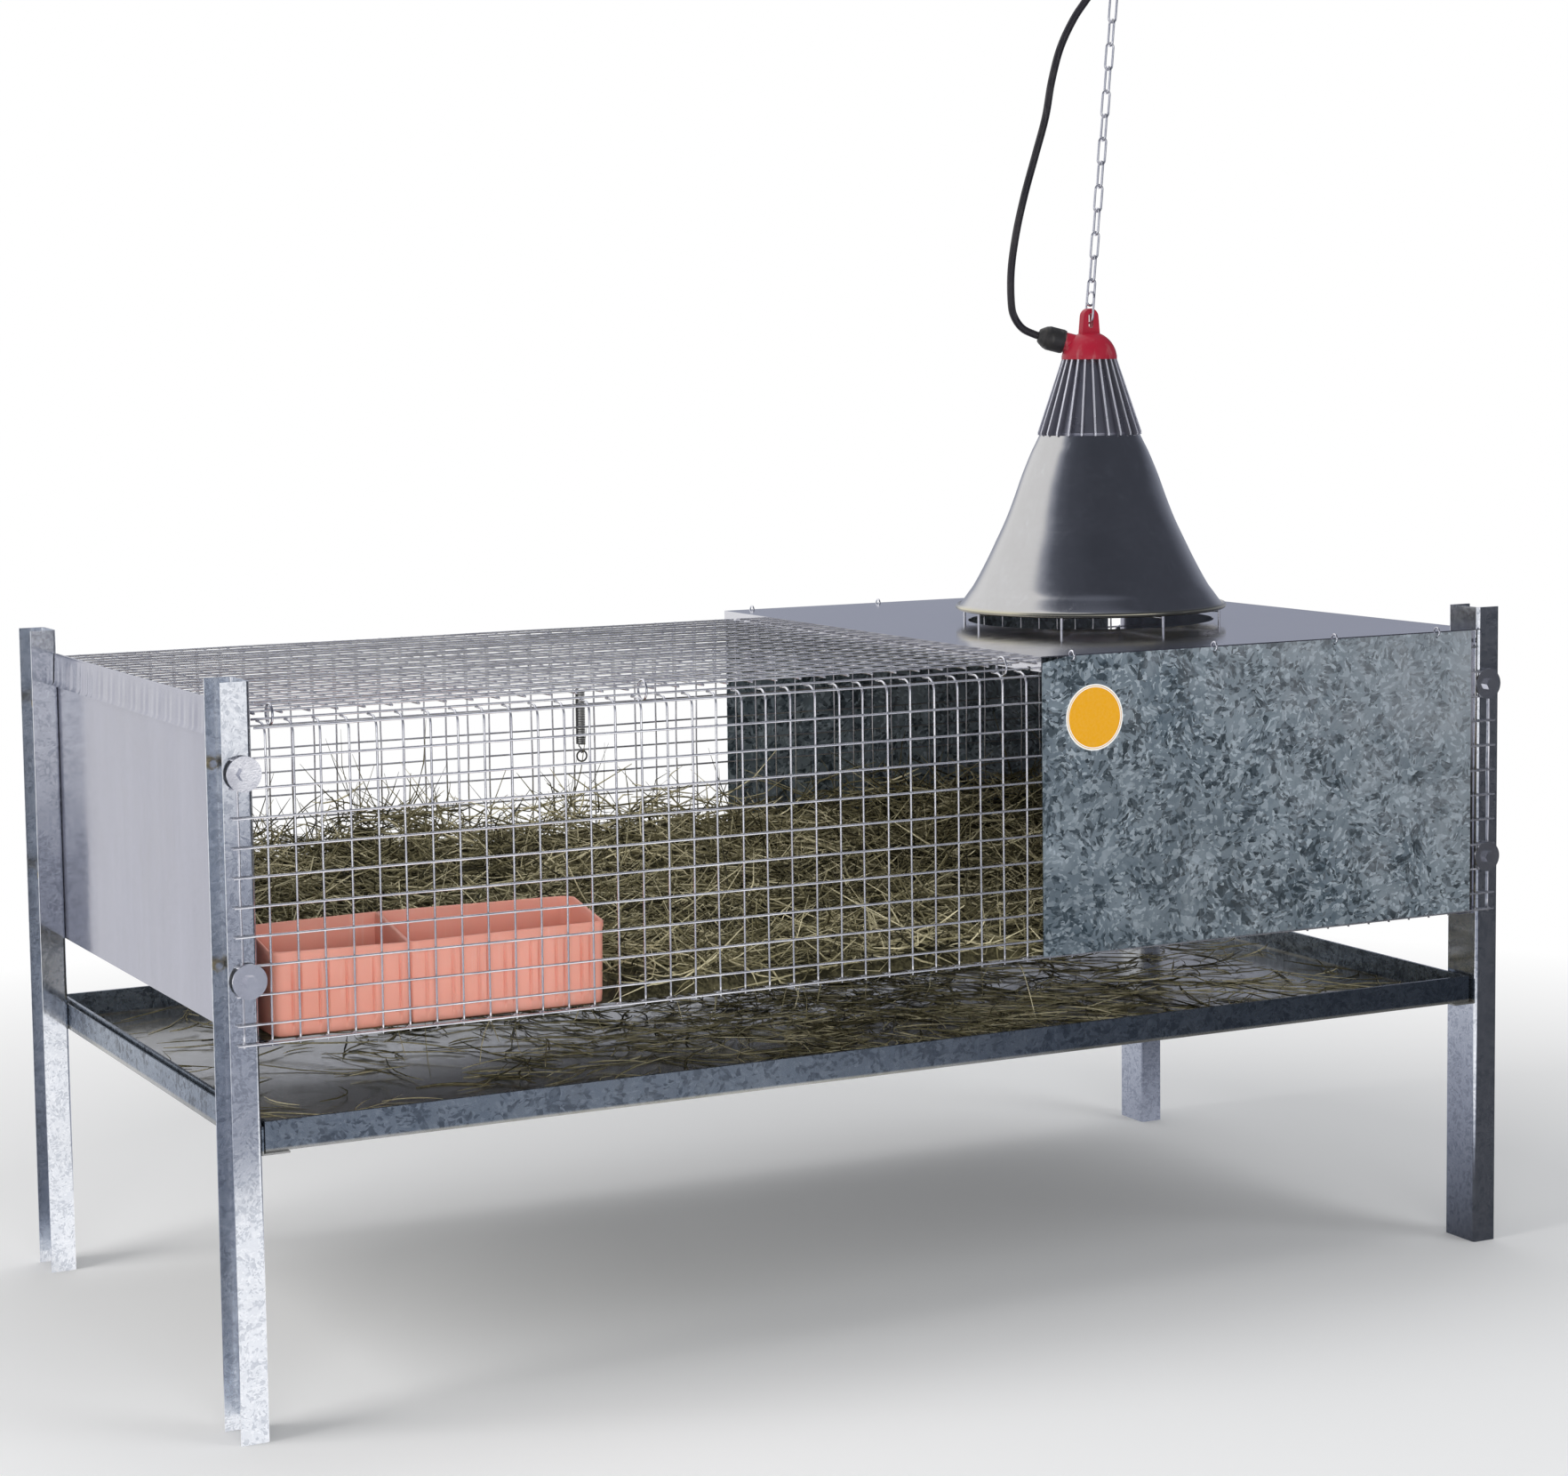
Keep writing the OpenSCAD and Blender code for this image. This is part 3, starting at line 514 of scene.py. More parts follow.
@dataclass(frozen=True)
class TrayFinish(ZincFinish):
    """Zinc tray: floor dulled by droppings and damp litter, painted shade on the front rim, deeper to the
    right.
    """

    soil: Colour = (0.36, 0.35, 0.30)
    bare: Colour = (0.56, 0.55, 0.52)

    def material(self) -> bpy.types.Material:
        """Builds the material, with the soil only on the tray's floor and painted shade on the front rim."""
        made = Material(self.name)
        sketch = made.sketch
        colour, rough = self.coat(made)
        axes = sketch.add("ShaderNodeSeparateXYZ", {0: made.coords}).outputs
        low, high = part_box("dropping_tray")
        on_floor = sketch.spread(axes[2], low.z + 1.0 * MM, low.z + 2.5 * MM, 0.85, 0.0)
        # Painted shade on the front rim, deeper towards the right end
        front = sketch.spread(axes[1], low.y + 1.0 * MM, low.y + 3.0 * MM, 1.0, 0.0)
        painted_shade_front = sketch.math("MULTIPLY", front, sketch.spread(axes[0], low.x, high.x, 0.35, 0.8))
        colour = sketch.mix(painted_shade_front, colour, self.dark)
        blotch = sketch.noise(made.coords, 11.0, 5.0, 0.65).outputs[0]
        dull = sketch.mix(sketch.spread(blotch, 0.35, 0.65, 0.0, 1.0), self.soil, self.bare)
        damp = sketch.math("MULTIPLY", rough, sketch.spread(on_floor, 0.0, 0.85, 1.0, 0.6))
        made.feed(Base_Color=sketch.mix(on_floor, colour, dull), Roughness=damp,
                  Metallic=sketch.spread(on_floor, 0.0, 0.85, self.metal, 0.75))
        return made.block


@dataclass(frozen=True)
class RoofFinish(ZincFinish):
    """Smooth zinc roof with a painted highlight on its turned-down edge on the left."""

    # Colour of the painted highlight on the turned-down edge
    edge: Colour = (0.70, 0.70, 0.735)
    edge_width: float = 1.1 * MM

    def material(self) -> bpy.types.Material:
        """Builds the material, with the painted highlight on the edge told from the top by its place along X.
        """
        made = Material(self.name, Metallic=self.metal)
        sketch = made.sketch
        colour, rough = self.coat(made)
        across = sketch.add("ShaderNodeSeparateXYZ", {0: made.coords}).outputs[0]
        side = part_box("shelter_roof")[0].x
        # Painted highlight on the turned-down edge on the left
        painted_lip_highlight = sketch.spread(across, side + 0.7 * self.edge_width, side + self.edge_width, 1.0, 0.0)
        made.feed(Base_Color=sketch.mix(painted_lip_highlight, colour, self.edge), Roughness=rough)
        return made.block


@dataclass(frozen=True)
class WireFinish:
    """Drawn steel wire with a thin bright coat, a little duller in patches."""

    name: str
    bright: Colour
    dull: Colour
    rough: tuple[float, float] = (0.22, 0.42)
    metal: float = 0.85

    def material(self) -> bpy.types.Material:
        """Builds the material."""
        made = Material(self.name, Metallic=self.metal)
        sketch = made.sketch
        patch = sketch.noise(made.coords, 45.0, 3.0, 0.6).outputs[0]
        grain = sketch.noise(made.coords, 900.0, 2.0).outputs[0]
        worn = sketch.spread(patch, 0.38, 0.64, 0.0, 1.0)
        made.feed(Base_Color=sketch.mix(worn, self.bright, self.dull),
                  Roughness=sketch.spread(patch, 0.35, 0.65, *self.rough))
        made.bump(grain, 0.15, 0.0002)
        return made.block


@dataclass(frozen=True)
class SpunFinish:
    """Spun aluminium: very fine rings round the lamp's axis, faint smears and a painted warm reflection on
    the rim.
    """

    name: str
    colour: Colour
    smear: Colour
    # Colour of the painted warm reflection on the rim bead
    tint: Colour = (0.62, 0.58, 0.43)
    rim_height: float = 0.0
    rough: tuple[float, float] = (0.17, 0.23)
    smears: float = 0.5
    metal: float = 1.0

    def material(self) -> bpy.types.Material:
        """Builds the material."""
        made = Material(self.name, Metallic=self.metal)
        sketch = made.sketch
        upright = sketch.vector("MULTIPLY", made.coords, (0.02, 0.02, 1.0))
        ring = sketch.noise(upright, 900.0, 3.0, 0.6).outputs[0]
        smears = made.effect(Effect.DUST, Scale=24.0, Amount=self.smears)
        scuffs = made.effect(Effect.SCUFF, Scale=34.0, Amount=self.smears)
        mask = sketch.math("MAXIMUM", smears["Mask"], scuffs["Mask"])
        rough = sketch.spread(ring, 0.3, 0.7, *self.rough)
        rough = sketch.math("ADD", rough, sketch.math("MULTIPLY", mask, 0.2))
        colour = sketch.mix(sketch.math("MULTIPLY", mask, 0.4), self.colour, self.smear)
        # Painted warm reflection on the rim bead
        if self.rim_height:
            height = sketch.add("ShaderNodeSeparateXYZ", {0: made.coords}).outputs[2]
            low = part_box("lamp_shade")[0].z
            rim = sketch.spread(height, low + 0.6 * self.rim_height, low + self.rim_height, 1.0, 0.0)
            colour = sketch.mix(rim, colour, self.tint)
        made.feed(Base_Color=colour, Roughness=rough)
        made.bump(ring, 0.03, 0.0003)
        return made.block


@dataclass(frozen=True)
class FinFinish:
    """Cast aluminium fins: a painted highlight on the tips, duller flanks and painted shade between the fins.
    """

    name: str
    # Colours of the painted highlight on the tips, of the flanks and of the painted shade between the fins
    tip_highlight: Colour
    flank: Colour
    gap_shade: Colour
    foot_radius: float = 41.5 * MM
    head_radius: float = 22.0 * MM
    depth: float = 6.0 * MM

    def material(self) -> bpy.types.Material:
        """Builds the material.

        The depth below the fins' outer cone, which narrows evenly from foot to head, tells the tips, with
        their painted highlight, from the flanks and from the painted shade deep between the fins.
        """
        made = Material(self.name)
        sketch = made.sketch
        low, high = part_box("lamp_fin_housing")
        axis = ((low.x + high.x) / 2, (low.y + high.y) / 2, 0.0)
        moved = sketch.vector("MULTIPLY", sketch.vector("SUBTRACT", made.coords, axis), (1.0, 1.0, 0.0))
        reach = sketch.add("ShaderNodeVectorMath", {0: moved}, operation="LENGTH").outputs["Value"]
        height = sketch.add("ShaderNodeSeparateXYZ", {0: made.coords}).outputs[2]
        cone = sketch.spread(height, low.z + 2.0 * MM, high.z, self.foot_radius, self.head_radius)
        deep = sketch.math("SUBTRACT", cone, reach)
        # Painted highlight on the fin tips and painted shade deep between the fins
        tips = sketch.spread(deep, 0.15 * MM, 0.7 * MM, 1.0, 0.0)
        gap_shade_mask = sketch.spread(deep, 0.2 * self.depth, 0.8 * self.depth, 0.0, 1.0)
        patch = sketch.noise(made.coords, 60.0, 3.0, 0.6).outputs[0]
        colour = sketch.mix(gap_shade_mask, self.flank, self.gap_shade)
        colour = sketch.mix(tips, colour, self.tip_highlight)
        made.feed(Base_Color=colour, Roughness=sketch.spread(patch, 0.3, 0.7, 0.24, 0.4),
                  Metallic=sketch.spread(tips, 0.0, 1.0, 0.85, 0.45))
        made.bump(patch, 0.05, 0.0006)
        return made.block


@dataclass(frozen=True)
class MouldedFinish:
    """Moulded plastic or rubber: fine skin, faint scuffs and settled dust."""

    name: str
    colour: Colour
    shade: Colour
    rough: tuple[float, float] = (0.35, 0.5)
    dust: float = 0.25
    skin: float = 0.12
    glow: float = 0.0

    def material(self) -> bpy.types.Material:
        """Builds the material."""
        made = Material(self.name, Subsurface_Weight=self.glow, Subsurface_Scale=0.004)
        sketch = made.sketch
        broad = sketch.noise(made.coords, 18.0, 3.0).outputs[0]
        skin = sketch.noise(made.coords, 1500.0, 2.0).outputs[0]
        scuffs = made.effect(Effect.SCUFF, Scale=30.0, Amount=0.5)
        dust = made.effect(Effect.DUST, Scale=22.0, Amount=self.dust)
        colour = sketch.mix(sketch.spread(broad, 0.3, 0.7, 0.0, 1.0), self.colour, self.shade)
        colour = sketch.mix(sketch.math("MULTIPLY", scuffs["Mask"], 0.25), colour, (0.8, 0.78, 0.74))
        colour = sketch.mix(dust["Mask"], colour, (0.5, 0.45, 0.36))
        rough = sketch.math("ADD", sketch.spread(broad, 0.3, 0.7, *self.rough),
                            sketch.math("MULTIPLY", dust["Mask"], 0.3))
        made.feed(Base_Color=colour, Roughness=rough)
        made.bump(skin, self.skin, 0.0004)
        return made.block


@dataclass(frozen=True)
class HayFinish:
    """Dry grass: each stalk has its own tone from dark olive to straw, with fine lines along it."""

    name: str
    deep: Colour
    olive: Colour
    straw: Colour

    def material(self) -> bpy.types.Material:
        """Builds the material."""
        made = Material(self.name, Roughness=0.75, Specular_IOR_Level=0.25)
        sketch = made.sketch
        tone = sketch.add("ShaderNodeAttribute", attribute_name="tone").outputs["Fac"]
        fibre = sketch.noise(made.coords, 420.0, 3.0, 0.65).outputs[0]
        patch = sketch.noise(made.coords, 16.0, 2.0).outputs[0]
        value = sketch.math("ADD", tone, sketch.spread(fibre, 0.3, 0.7, -0.12, 0.12))
        value = sketch.math("ADD", value, sketch.spread(patch, 0.3, 0.7, -0.12, 0.12))
        stops = [(0.0, self.deep), (0.5, self.olive), (1.0, self.straw)]
        made.feed(Base_Color=sketch.ramp(value, stops))
        made.bump(fibre, 0.3, 0.0006)
        return made.block


@dataclass(frozen=True)
class LabelFinish:
    """Plain printed disc: an orange field, a thin dark line and a white border."""

    name: str
    field_colour: Colour
    border: Colour
    line: Colour

    def material(self) -> bpy.types.Material:
        """Builds the material, centred on the label's own place."""
        low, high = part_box("label_disc")
        middle = (low + high) / 2
        made = Material(self.name, Coat_Weight=0.05, Coat_Roughness=0.25, Specular_IOR_Level=0.3)
        sketch = made.sketch
        moved = sketch.vector("SUBTRACT", made.coords, tuple(middle))
        flat = sketch.vector("MULTIPLY", moved, (1.0, 0.0, 1.0))
        reach = sketch.add("ShaderNodeVectorMath", {0: flat}, operation="LENGTH").outputs["Value"]
        radius = (high.x - low.x) / 2
        share = sketch.math("DIVIDE", reach, radius)
        fibre = sketch.noise(made.coords, 500.0, 3.0).outputs[0]
        inside = sketch.spread(share, 0.90, 0.905, 0.0, 1.0)
        ring = sketch.math("MULTIPLY", sketch.spread(share, 0.93, 0.935, 0.0, 1.0),
                           sketch.spread(share, 0.95, 0.955, 1.0, 0.0))
        colour = sketch.mix(sketch.spread(fibre, 0.35, 0.65, 0.0, 0.03), self.field_colour, self.border)
        colour = sketch.mix(inside, colour, self.border)
        colour = sketch.mix(ring, colour, self.line)
        made.feed(Base_Color=colour, Roughness=sketch.spread(fibre, 0.3, 0.7, 0.42, 0.55))
        return made.block


@dataclass(frozen=True)
class BulbFinish:
    """Red-stained lamp glass with a little unevenness."""

    name: str
    colour: Colour

    def material(self) -> bpy.types.Material:
        """Builds the material."""
        made = Material(self.name, Transmission_Weight=0.6, IOR=1.5, Metallic=0.0)
        sketch = made.sketch
        uneven = sketch.noise(made.coords, 40.0, 2.0).outputs[0]
        deep = tuple(0.6 * part for part in self.colour)
        made.feed(Base_Color=sketch.mix(sketch.spread(uneven, 0.3, 0.7, 0.0, 1.0), self.colour, deep),
                  Roughness=sketch.spread(uneven, 0.3, 0.7, 0.12, 0.25))
        return made.block


FINISHES = (
    ZincFinish("post_zinc", (0.30, 0.335, 0.40), (0.70, 0.73, 0.78), (0.94, 0.955, 0.98), scale=560.0,
               grain=110.0, patch=96.0, dark_share=0.5, pale_share=0.45, metal=0.95, rough=(0.07, 0.15),
               waves=0.08),
    ZincFinish("panel_zinc", (0.29, 0.292, 0.355), (0.34, 0.346, 0.413), (0.44, 0.447, 0.523), scale=220.0,
               grain=14.0, patch=22.0, dark_share=0.1, pale_share=0.12, rough=(0.10, 0.16), waves=0.16,
               scuffs=0.0, streaks=0.35),
    SheetFinish("sheet_zinc", (0.020, 0.034, 0.046), (0.15, 0.205, 0.25), (0.66, 0.75, 0.81), scale=300.0,
                grain=85.0, patch=44.0, dark_share=0.95, pale_share=0.8, cloud=0.8, metal=0.55,
                rough=(0.30, 0.45)),
    RoofFinish("roof_zinc", (0.385, 0.39, 0.445), (0.45, 0.455, 0.525), (0.54, 0.545, 0.61), scale=220.0,
               grain=14.0, patch=22.0, dark_share=0.1, pale_share=0.1, metal=0.95, rough=(0.07, 0.11),
               waves=0.05, dust=0.06, scuffs=0.05),
    TrayFinish("tray_zinc", (0.05, 0.065, 0.09), (0.17, 0.21, 0.27), (0.44, 0.50, 0.58), scale=330.0,
               grain=90.0, patch=54.0, dark_share=0.85, pale_share=0.3, metal=0.8, rough=(0.2, 0.34)),
    WireFinish("wire_zinc", (0.96, 0.96, 0.99), (0.70, 0.70, 0.75), rough=(0.10, 0.2), metal=0.85),
    WireFinish("hardware_zinc", (0.92, 0.92, 0.95), (0.72, 0.72, 0.77), rough=(0.10, 0.2), metal=0.95),
    WireFinish("nut_brass", (0.72, 0.55, 0.25), (0.50, 0.38, 0.18)),
    MouldedFinish("latch_black", (0.02, 0.02, 0.02), (0.035, 0.033, 0.032), rough=(0.3, 0.45), dust=0.1),
    LabelFinish("label_print", (0.82, 0.385, 0.004), (0.92, 0.91, 0.88), (0.75, 0.40, 0.05)),
    MouldedFinish("trough_plastic", (0.82, 0.375, 0.295), (0.76, 0.328, 0.25), rough=(0.4, 0.5), glow=0.1,
                  dust=0.06),
    HayFinish("hay", (0.022, 0.020, 0.010), (0.255, 0.228, 0.125), (0.86, 0.78, 0.52)),
    SpunFinish("lamp_aluminium", (0.56, 0.555, 0.55), (0.78, 0.79, 0.82), rim_height=4.8 * MM,
               rough=(0.12, 0.17), smears=0.55),
    FinFinish("fin_aluminium", (0.66, 0.665, 0.73), (0.48, 0.48, 0.54), (0.34, 0.34, 0.39)),
    MouldedFinish("cap_red", (0.41, 0.010, 0.034), (0.35, 0.007, 0.026), rough=(0.36, 0.46), dust=0.02),
    MouldedFinish("gland_black", (0.012, 0.012, 0.014), (0.022, 0.022, 0.024), rough=(0.4, 0.55),
                  dust=0.06),
    MouldedFinish("cable_black", (0.010, 0.009, 0.013), (0.018, 0.016, 0.022), rough=(0.35, 0.5),
                  dust=0.05),
    BulbFinish("bulb_glass", (0.75, 0.10, 0.08)),
    MouldedFinish("socket_ceramic", (0.82, 0.80, 0.75), (0.76, 0.74, 0.70), rough=(0.2, 0.3), dust=0.1),
    MouldedFinish("rose_white", (0.84, 0.84, 0.82), (0.80, 0.80, 0.78), rough=(0.3, 0.4), dust=0.08),
)


class FinishRack:
    """All materials by slot name, each made once."""

    def __init__(self) -> None:
        """Makes every finish."""
        self.by_slot = {finish.name: finish.material() for finish in FINISHES}

    def dress_nodes(self, slots: dict[str, str]) -> None:
        """Gives each CAD node the material of its slot."""
        for name, slot in slots.items():
            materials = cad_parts[name].data.materials
            materials.clear()
            materials.append(self.by_slot[slot])


@dataclass
class Piece:
    """What the frame needs to know about a new piece."""

    name: str
    body: str
    slot: str
    replaces: tuple[str, ...] = ()


def place(piece: Piece, surface: Surface, rack: FinishRack, sharp: float | None = None) -> bpy.types.Object:
    """Makes an object of a surface, dresses it and hangs it on its body.

    Args:
        piece: Name, body, material slot and replaced nodes.
        surface: The mesh.
        rack: Where the material comes from.
        sharp: Angle in degrees past which an edge is sharp, or None for none.

    Returns:
        The object, at the origin.
    """
    mesh = bpy.data.meshes.new(piece.name)
    faces = [row for block in surface.faces for row in block.tolist()]
    mesh.from_pydata(surface.points.tolist(), [], faces)
    mesh.polygons.foreach_set("use_smooth", np.ones(len(mesh.polygons), bool))
    if surface.tone is not None:
        tones = mesh.attributes.new("tone", "FLOAT", "POINT").data
        tones.foreach_set("value", surface.tone.astype(np.float32))
    mesh.update()
    if sharp is not None:
        mesh.set_sharp_from_angle(angle=math.radians(sharp))
    made = bpy.data.objects.new(piece.name, mesh)
    bpy.context.scene.collection.objects.link(made)
    mesh.materials.append(rack.by_slot[piece.slot])
    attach(made, piece.body)
    if piece.replaces:
        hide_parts(*piece.replaces)
    LOG.info("%s: %d faces on %s", piece.name, len(mesh.polygons), piece.body)
    return made


# Camera, light and floor


@dataclass
class Studio:
    """Camera at the photograph's angle, soft lamps, a white surround and a pale floor."""

    azimuth: float = math.radians(26.296)
    elevation: float = math.radians(5.318)
    roll: float = math.radians(0.829)
    place: tuple[float, float, float] = (-1.1480, -2.2531, 0.7006)
    image: tuple[int, int] = (1764, 1660)
    focal_px: float = 3735.5
    centre_px: tuple[float, float] = (809.0, 737.0)
    sensor: float = 36.0
    middle: tuple[float, float, float] = (0.0, 0.0, 0.42)
    floor_half: float = 6.0
    forward: Vector = field(init=False)
    right: Vector = field(init=False)
    down: Vector = field(init=False)

    def __post_init__(self) -> None:
        """Works out the camera's directions from its angles."""
        ca, sa = math.cos(self.azimuth), math.sin(self.azimuth)
        ce, se = math.cos(self.elevation), math.sin(self.elevation)
        self.forward = Vector((sa * ce, ca * ce, -se))
        level = Vector((ca, -sa, 0.0))
        drop = self.forward.cross(level)
        cr, sr = math.cos(self.roll), math.sin(self.roll)
        self.right = cr * level + sr * drop
        self.down = cr * drop - sr * level

    def set_camera(self) -> None:
        """Camera whose lens and shift give the photograph's focal length and centre."""
        width, height = self.image
        data = bpy.data.cameras.new("camera")
        data.sensor_width = self.sensor
        data.lens = self.focal_px / width * self.sensor
        data.shift_x = (width / 2 - self.centre_px[0]) / width
        data.shift_y = (self.centre_px[1] - height / 2) / width
        data.clip_end = 50.0
        camera = bpy.data.objects.new("camera", data)
        axes = Matrix((self.right, -self.down, -self.forward)).transposed()
        camera.matrix_world = Matrix.Translation(self.place) @ axes.to_4x4()
        bpy.context.scene.collection.objects.link(camera)
        bpy.context.scene.camera = camera

    def add_lamp(self, name: str, turn: float, rise: float, reach: float, size: tuple[float, float],
                 power: float, colour: Colour) -> None:
        """Soft rectangular lamp that looks at the middle of the object.

        Args:
            name: The lamp's name.
            turn: Degrees to the right of the camera, seen from the object.
            rise: Degrees above the horizon.
            reach: Distance from the object's middle.
            size: Width and height of the lamp.
            power: Power in watts.
            colour: Light colour.
        """
        data = bpy.data.lights.new(name, "AREA")
        data.shape = "RECTANGLE"
        data.size, data.size_y = size
        data.energy = power
        data.color = colour
        angle = self.azimuth + math.pi - math.radians(turn)
        flat = Vector((math.sin(angle), math.cos(angle), 0.0))
        out = flat * math.cos(math.radians(rise)) + Vector((0, 0, math.sin(math.radians(rise))))
        lamp = bpy.data.objects.new(name, data)
        lamp.location = Vector(self.middle) + out * reach
        lamp.rotation_euler = (-out).to_track_quat("-Z", "Y").to_euler()
        lamp.visible_glossy = False
        bpy.context.scene.collection.objects.link(lamp)

    def set_lamps(self) -> None:
        """Large lamp on the left, weaker ones on the right and in front, and one above the back."""
        self.add_lamp("left_lamp", -62.0, 34.0, 3.2, (1.5, 1.9), 44.0, (1.0, 0.985, 0.97))
        self.add_lamp("right_lamp", 64.0, 30.0, 3.4, (1.4, 1.8), 18.0, (0.96, 0.98, 1.0))
        self.add_lamp("front_lamp", 4.0, 8.0, 3.4, (2.2, 1.0), 42.0, (1.0, 1.0, 1.0))
        self.add_lamp("top_lamp", 170.0, 72.0, 3.2, (2.4, 1.6), 24.0, (1.0, 1.0, 1.0))

    def surround(self, sketch: NodeSketch, way: bpy.types.NodeSocket) -> bpy.types.NodeSocket:
        """Brightness that metal sees in a direction, from the angle round the upright axis and the height.

        High up it is white from the left round to the back, with an edge at the camera's left shoulder,
        and dark in front and on the right. Near the horizon it is white on the left, bright to the right
        of the camera, dark further round to the right and grey straight behind.

        Args:
            sketch: Tree that the nodes go into.
            way: Direction from the object.

        Returns:
            The brightness.
        """
        back, right = -self.forward, self.right
        ahead = sketch.add("ShaderNodeVectorMath", {0: way, 1: (back.x, back.y, 0.0)},
                           operation="DOT_PRODUCT")
        aside = sketch.add("ShaderNodeVectorMath", {0: way, 1: (right.x, right.y, 0.0)},
                           operation="DOT_PRODUCT")
        turn = sketch.math("ARCTAN2", aside.outputs["Value"], ahead.outputs["Value"])
        share = sketch.spread(turn, -math.pi, math.pi, 0.0, 1.0)
        rise = sketch.add("ShaderNodeSeparateXYZ", {0: way}).outputs[2]
        high = ((-180, 1.0), (-82, 1.0), (-72, 0.42), (-60, 0.15), (-42, 0.10), (0, 0.075), (60, 0.08),
                (110, 0.085), (140, 0.12), (158, 0.2), (172, 0.5), (180, 1.0))
        low = ((-180, 0.4), (-168, 0.45), (-150, 1.0), (-64, 1.0), (-46, 0.5), (-20, 0.4), (20, 0.8),
               (47, 0.9), (56, 0.2), (70, 0.08), (112, 0.2), (150, 0.35), (180, 0.4))
        ramps = [sketch.ramp(share, [((angle + 180) / 360, (level,) * 3) for angle, level in row])
                 for row in (low, high)]
        return sketch.mix(sketch.spread(rise, 0.12, 0.36, 0.0, 1.0), *ramps)

    def tint(self, sketch: NodeSketch, level: bpy.types.NodeSocket) -> bpy.types.NodeSocket:
        """Colour of what metal sees: bluish where it is dark, white where it is bright."""
        share = sketch.spread(level, 0.08, 0.9, 0.0, 1.0)
        return sketch.mix(share, (0.80, 0.88, 1.16), (0.985, 0.985, 1.0))

    def set_world(self) -> None:
        """White surround to the camera; metal sees a studio's bright and dark sides and a dim ceiling."""
        world = bpy.data.worlds.new("surround")
        bpy.context.scene.world = world
        world.use_nodes = True
        tree = world.node_tree
        tree.nodes.clear()
        sketch = NodeSketch(tree)
        rays = sketch.add("ShaderNodeLightPath").outputs
        outward = sketch.add("ShaderNodeTexCoord").outputs["Generated"]
        rise = sketch.add("ShaderNodeSeparateXYZ", {0: outward}).outputs[2]
        ceiling = sketch.spread(rise, 0.84, 0.96, 0.0, 0.22)
        level = sketch.math("MAXIMUM", self.surround(sketch, outward), ceiling)
        soft = sketch.add("ShaderNodeBackground", {"Color": (0.95, 0.97, 1.0, 1.0), "Strength": 0.34})
        seen = sketch.add("ShaderNodeBackground", {"Color": (1.0, 1.0, 1.0, 1.0), "Strength": 1.0})
        shown = {"Color": self.tint(sketch, level), "Strength": level}
        mirrored = sketch.add("ShaderNodeBackground", shown)
        bright = sketch.math("MAXIMUM", rays["Is Glossy Ray"], rays["Is Transmission Ray"])
        inner = sketch.add("ShaderNodeMixShader", {0: bright, 1: soft.outputs[0], 2: mirrored.outputs[0]})
        ends = {0: rays["Is Camera Ray"], 1: inner.outputs[0], 2: seen.outputs[0]}
        outer = sketch.add("ShaderNodeMixShader", ends)
        sketch.add("ShaderNodeOutputWorld", {"Surface": outer.outputs[0]})

    def set_floor(self) -> None:
        """Pale floor that keeps the shadow near the object and fades to the white surround further out.

        Metal sees levels of its own in it: bright on the left save for a dim band in front, a painted shadow
        next to the left end, dark in front on the right and brighter towards the back.
        """
        half = self.floor_half
        mesh = bpy.data.meshes.new("floor")
        corners = [(-half, -half, 0), (half, -half, 0), (half, half, 0), (-half, half, 0)]
        mesh.from_pydata(corners, [], [(0, 1, 2, 3)])
        floor = bpy.data.objects.new("floor", mesh)
        bpy.context.scene.collection.objects.link(floor)
        material = bpy.data.materials.new("floor_white")
        material.use_nodes = True
        tree = material.node_tree
        tree.nodes.clear()
        sketch = NodeSketch(tree)
        coords = sketch.add("ShaderNodeTexCoord").outputs["Object"]
        reach = sketch.add("ShaderNodeVectorMath", {0: coords}, operation="LENGTH").outputs["Value"]
        far = sketch.spread(reach, 0.7, 1.5, 0.0, 1.0)
        rays = sketch.add("ShaderNodeLightPath").outputs
        plain = sketch.add("ShaderNodeBsdfDiffuse", {"Color": (0.93, 0.93, 0.93, 1.0)})
        white = sketch.add("ShaderNodeEmission", {"Color": (1.0, 1.0, 1.0, 1.0), "Strength": 1.0})
        axes = sketch.add("ShaderNodeSeparateXYZ", {0: coords}).outputs
        slant = sketch.math("ADD", sketch.math("MULTIPLY", axes[1], 0.487), axes[0])
        ahead = sketch.math("ADD", sketch.math("MULTIPLY", slant, 0.9), axes[1])
        near = sketch.math("MAXIMUM", sketch.spread(ahead, -1.67, -1.43, 0.36, 1.1),
                           sketch.spread(ahead, -4.9, -3.9, 1.1, 0.36))
        # Painted shadow on the floor next to the left end, as metal sees it
        painted_shadow_left_end = sketch.math("MULTIPLY", sketch.spread(axes[0], -0.54, -0.49, 0.75, 0.0),
                             sketch.spread(axes[1], -0.24, -0.10, 0.0, 1.0))
        lit = sketch.math("MULTIPLY", near, sketch.spread(slant, -0.17, 0.13, 1.0, 0.0))
        lit = sketch.math("MULTIPLY", lit, sketch.math("SUBTRACT", 1.0, painted_shadow_left_end))
        level = sketch.math("MAXIMUM", lit, sketch.spread(axes[1], -0.25, 1.1, 0.04, 0.95))
        mirrored = sketch.add("ShaderNodeEmission", {"Color": self.tint(sketch, level), "Strength": level})
        blend = sketch.math("MULTIPLY", far, rays["Is Camera Ray"])
        mixed = sketch.add("ShaderNodeMixShader", {0: blend, 1: plain.outputs[0], 2: white.outputs[0]})
        ends = {0: rays["Is Glossy Ray"], 1: mixed.outputs[0], 2: mirrored.outputs[0]}
        shown = sketch.add("ShaderNodeMixShader", ends)
        sketch.add("ShaderNodeOutputMaterial", {"Surface": shown.outputs[0]})
        mesh.materials.append(material)

    def build(self) -> None:
        """Sets camera, lamps, world, floor and the plain view transform."""
        self.set_camera()
        self.set_lamps()
        self.set_world()
        self.set_floor()
        bpy.context.scene.view_settings.view_transform = "Standard"
        LOG.info("studio set")


# Lamp


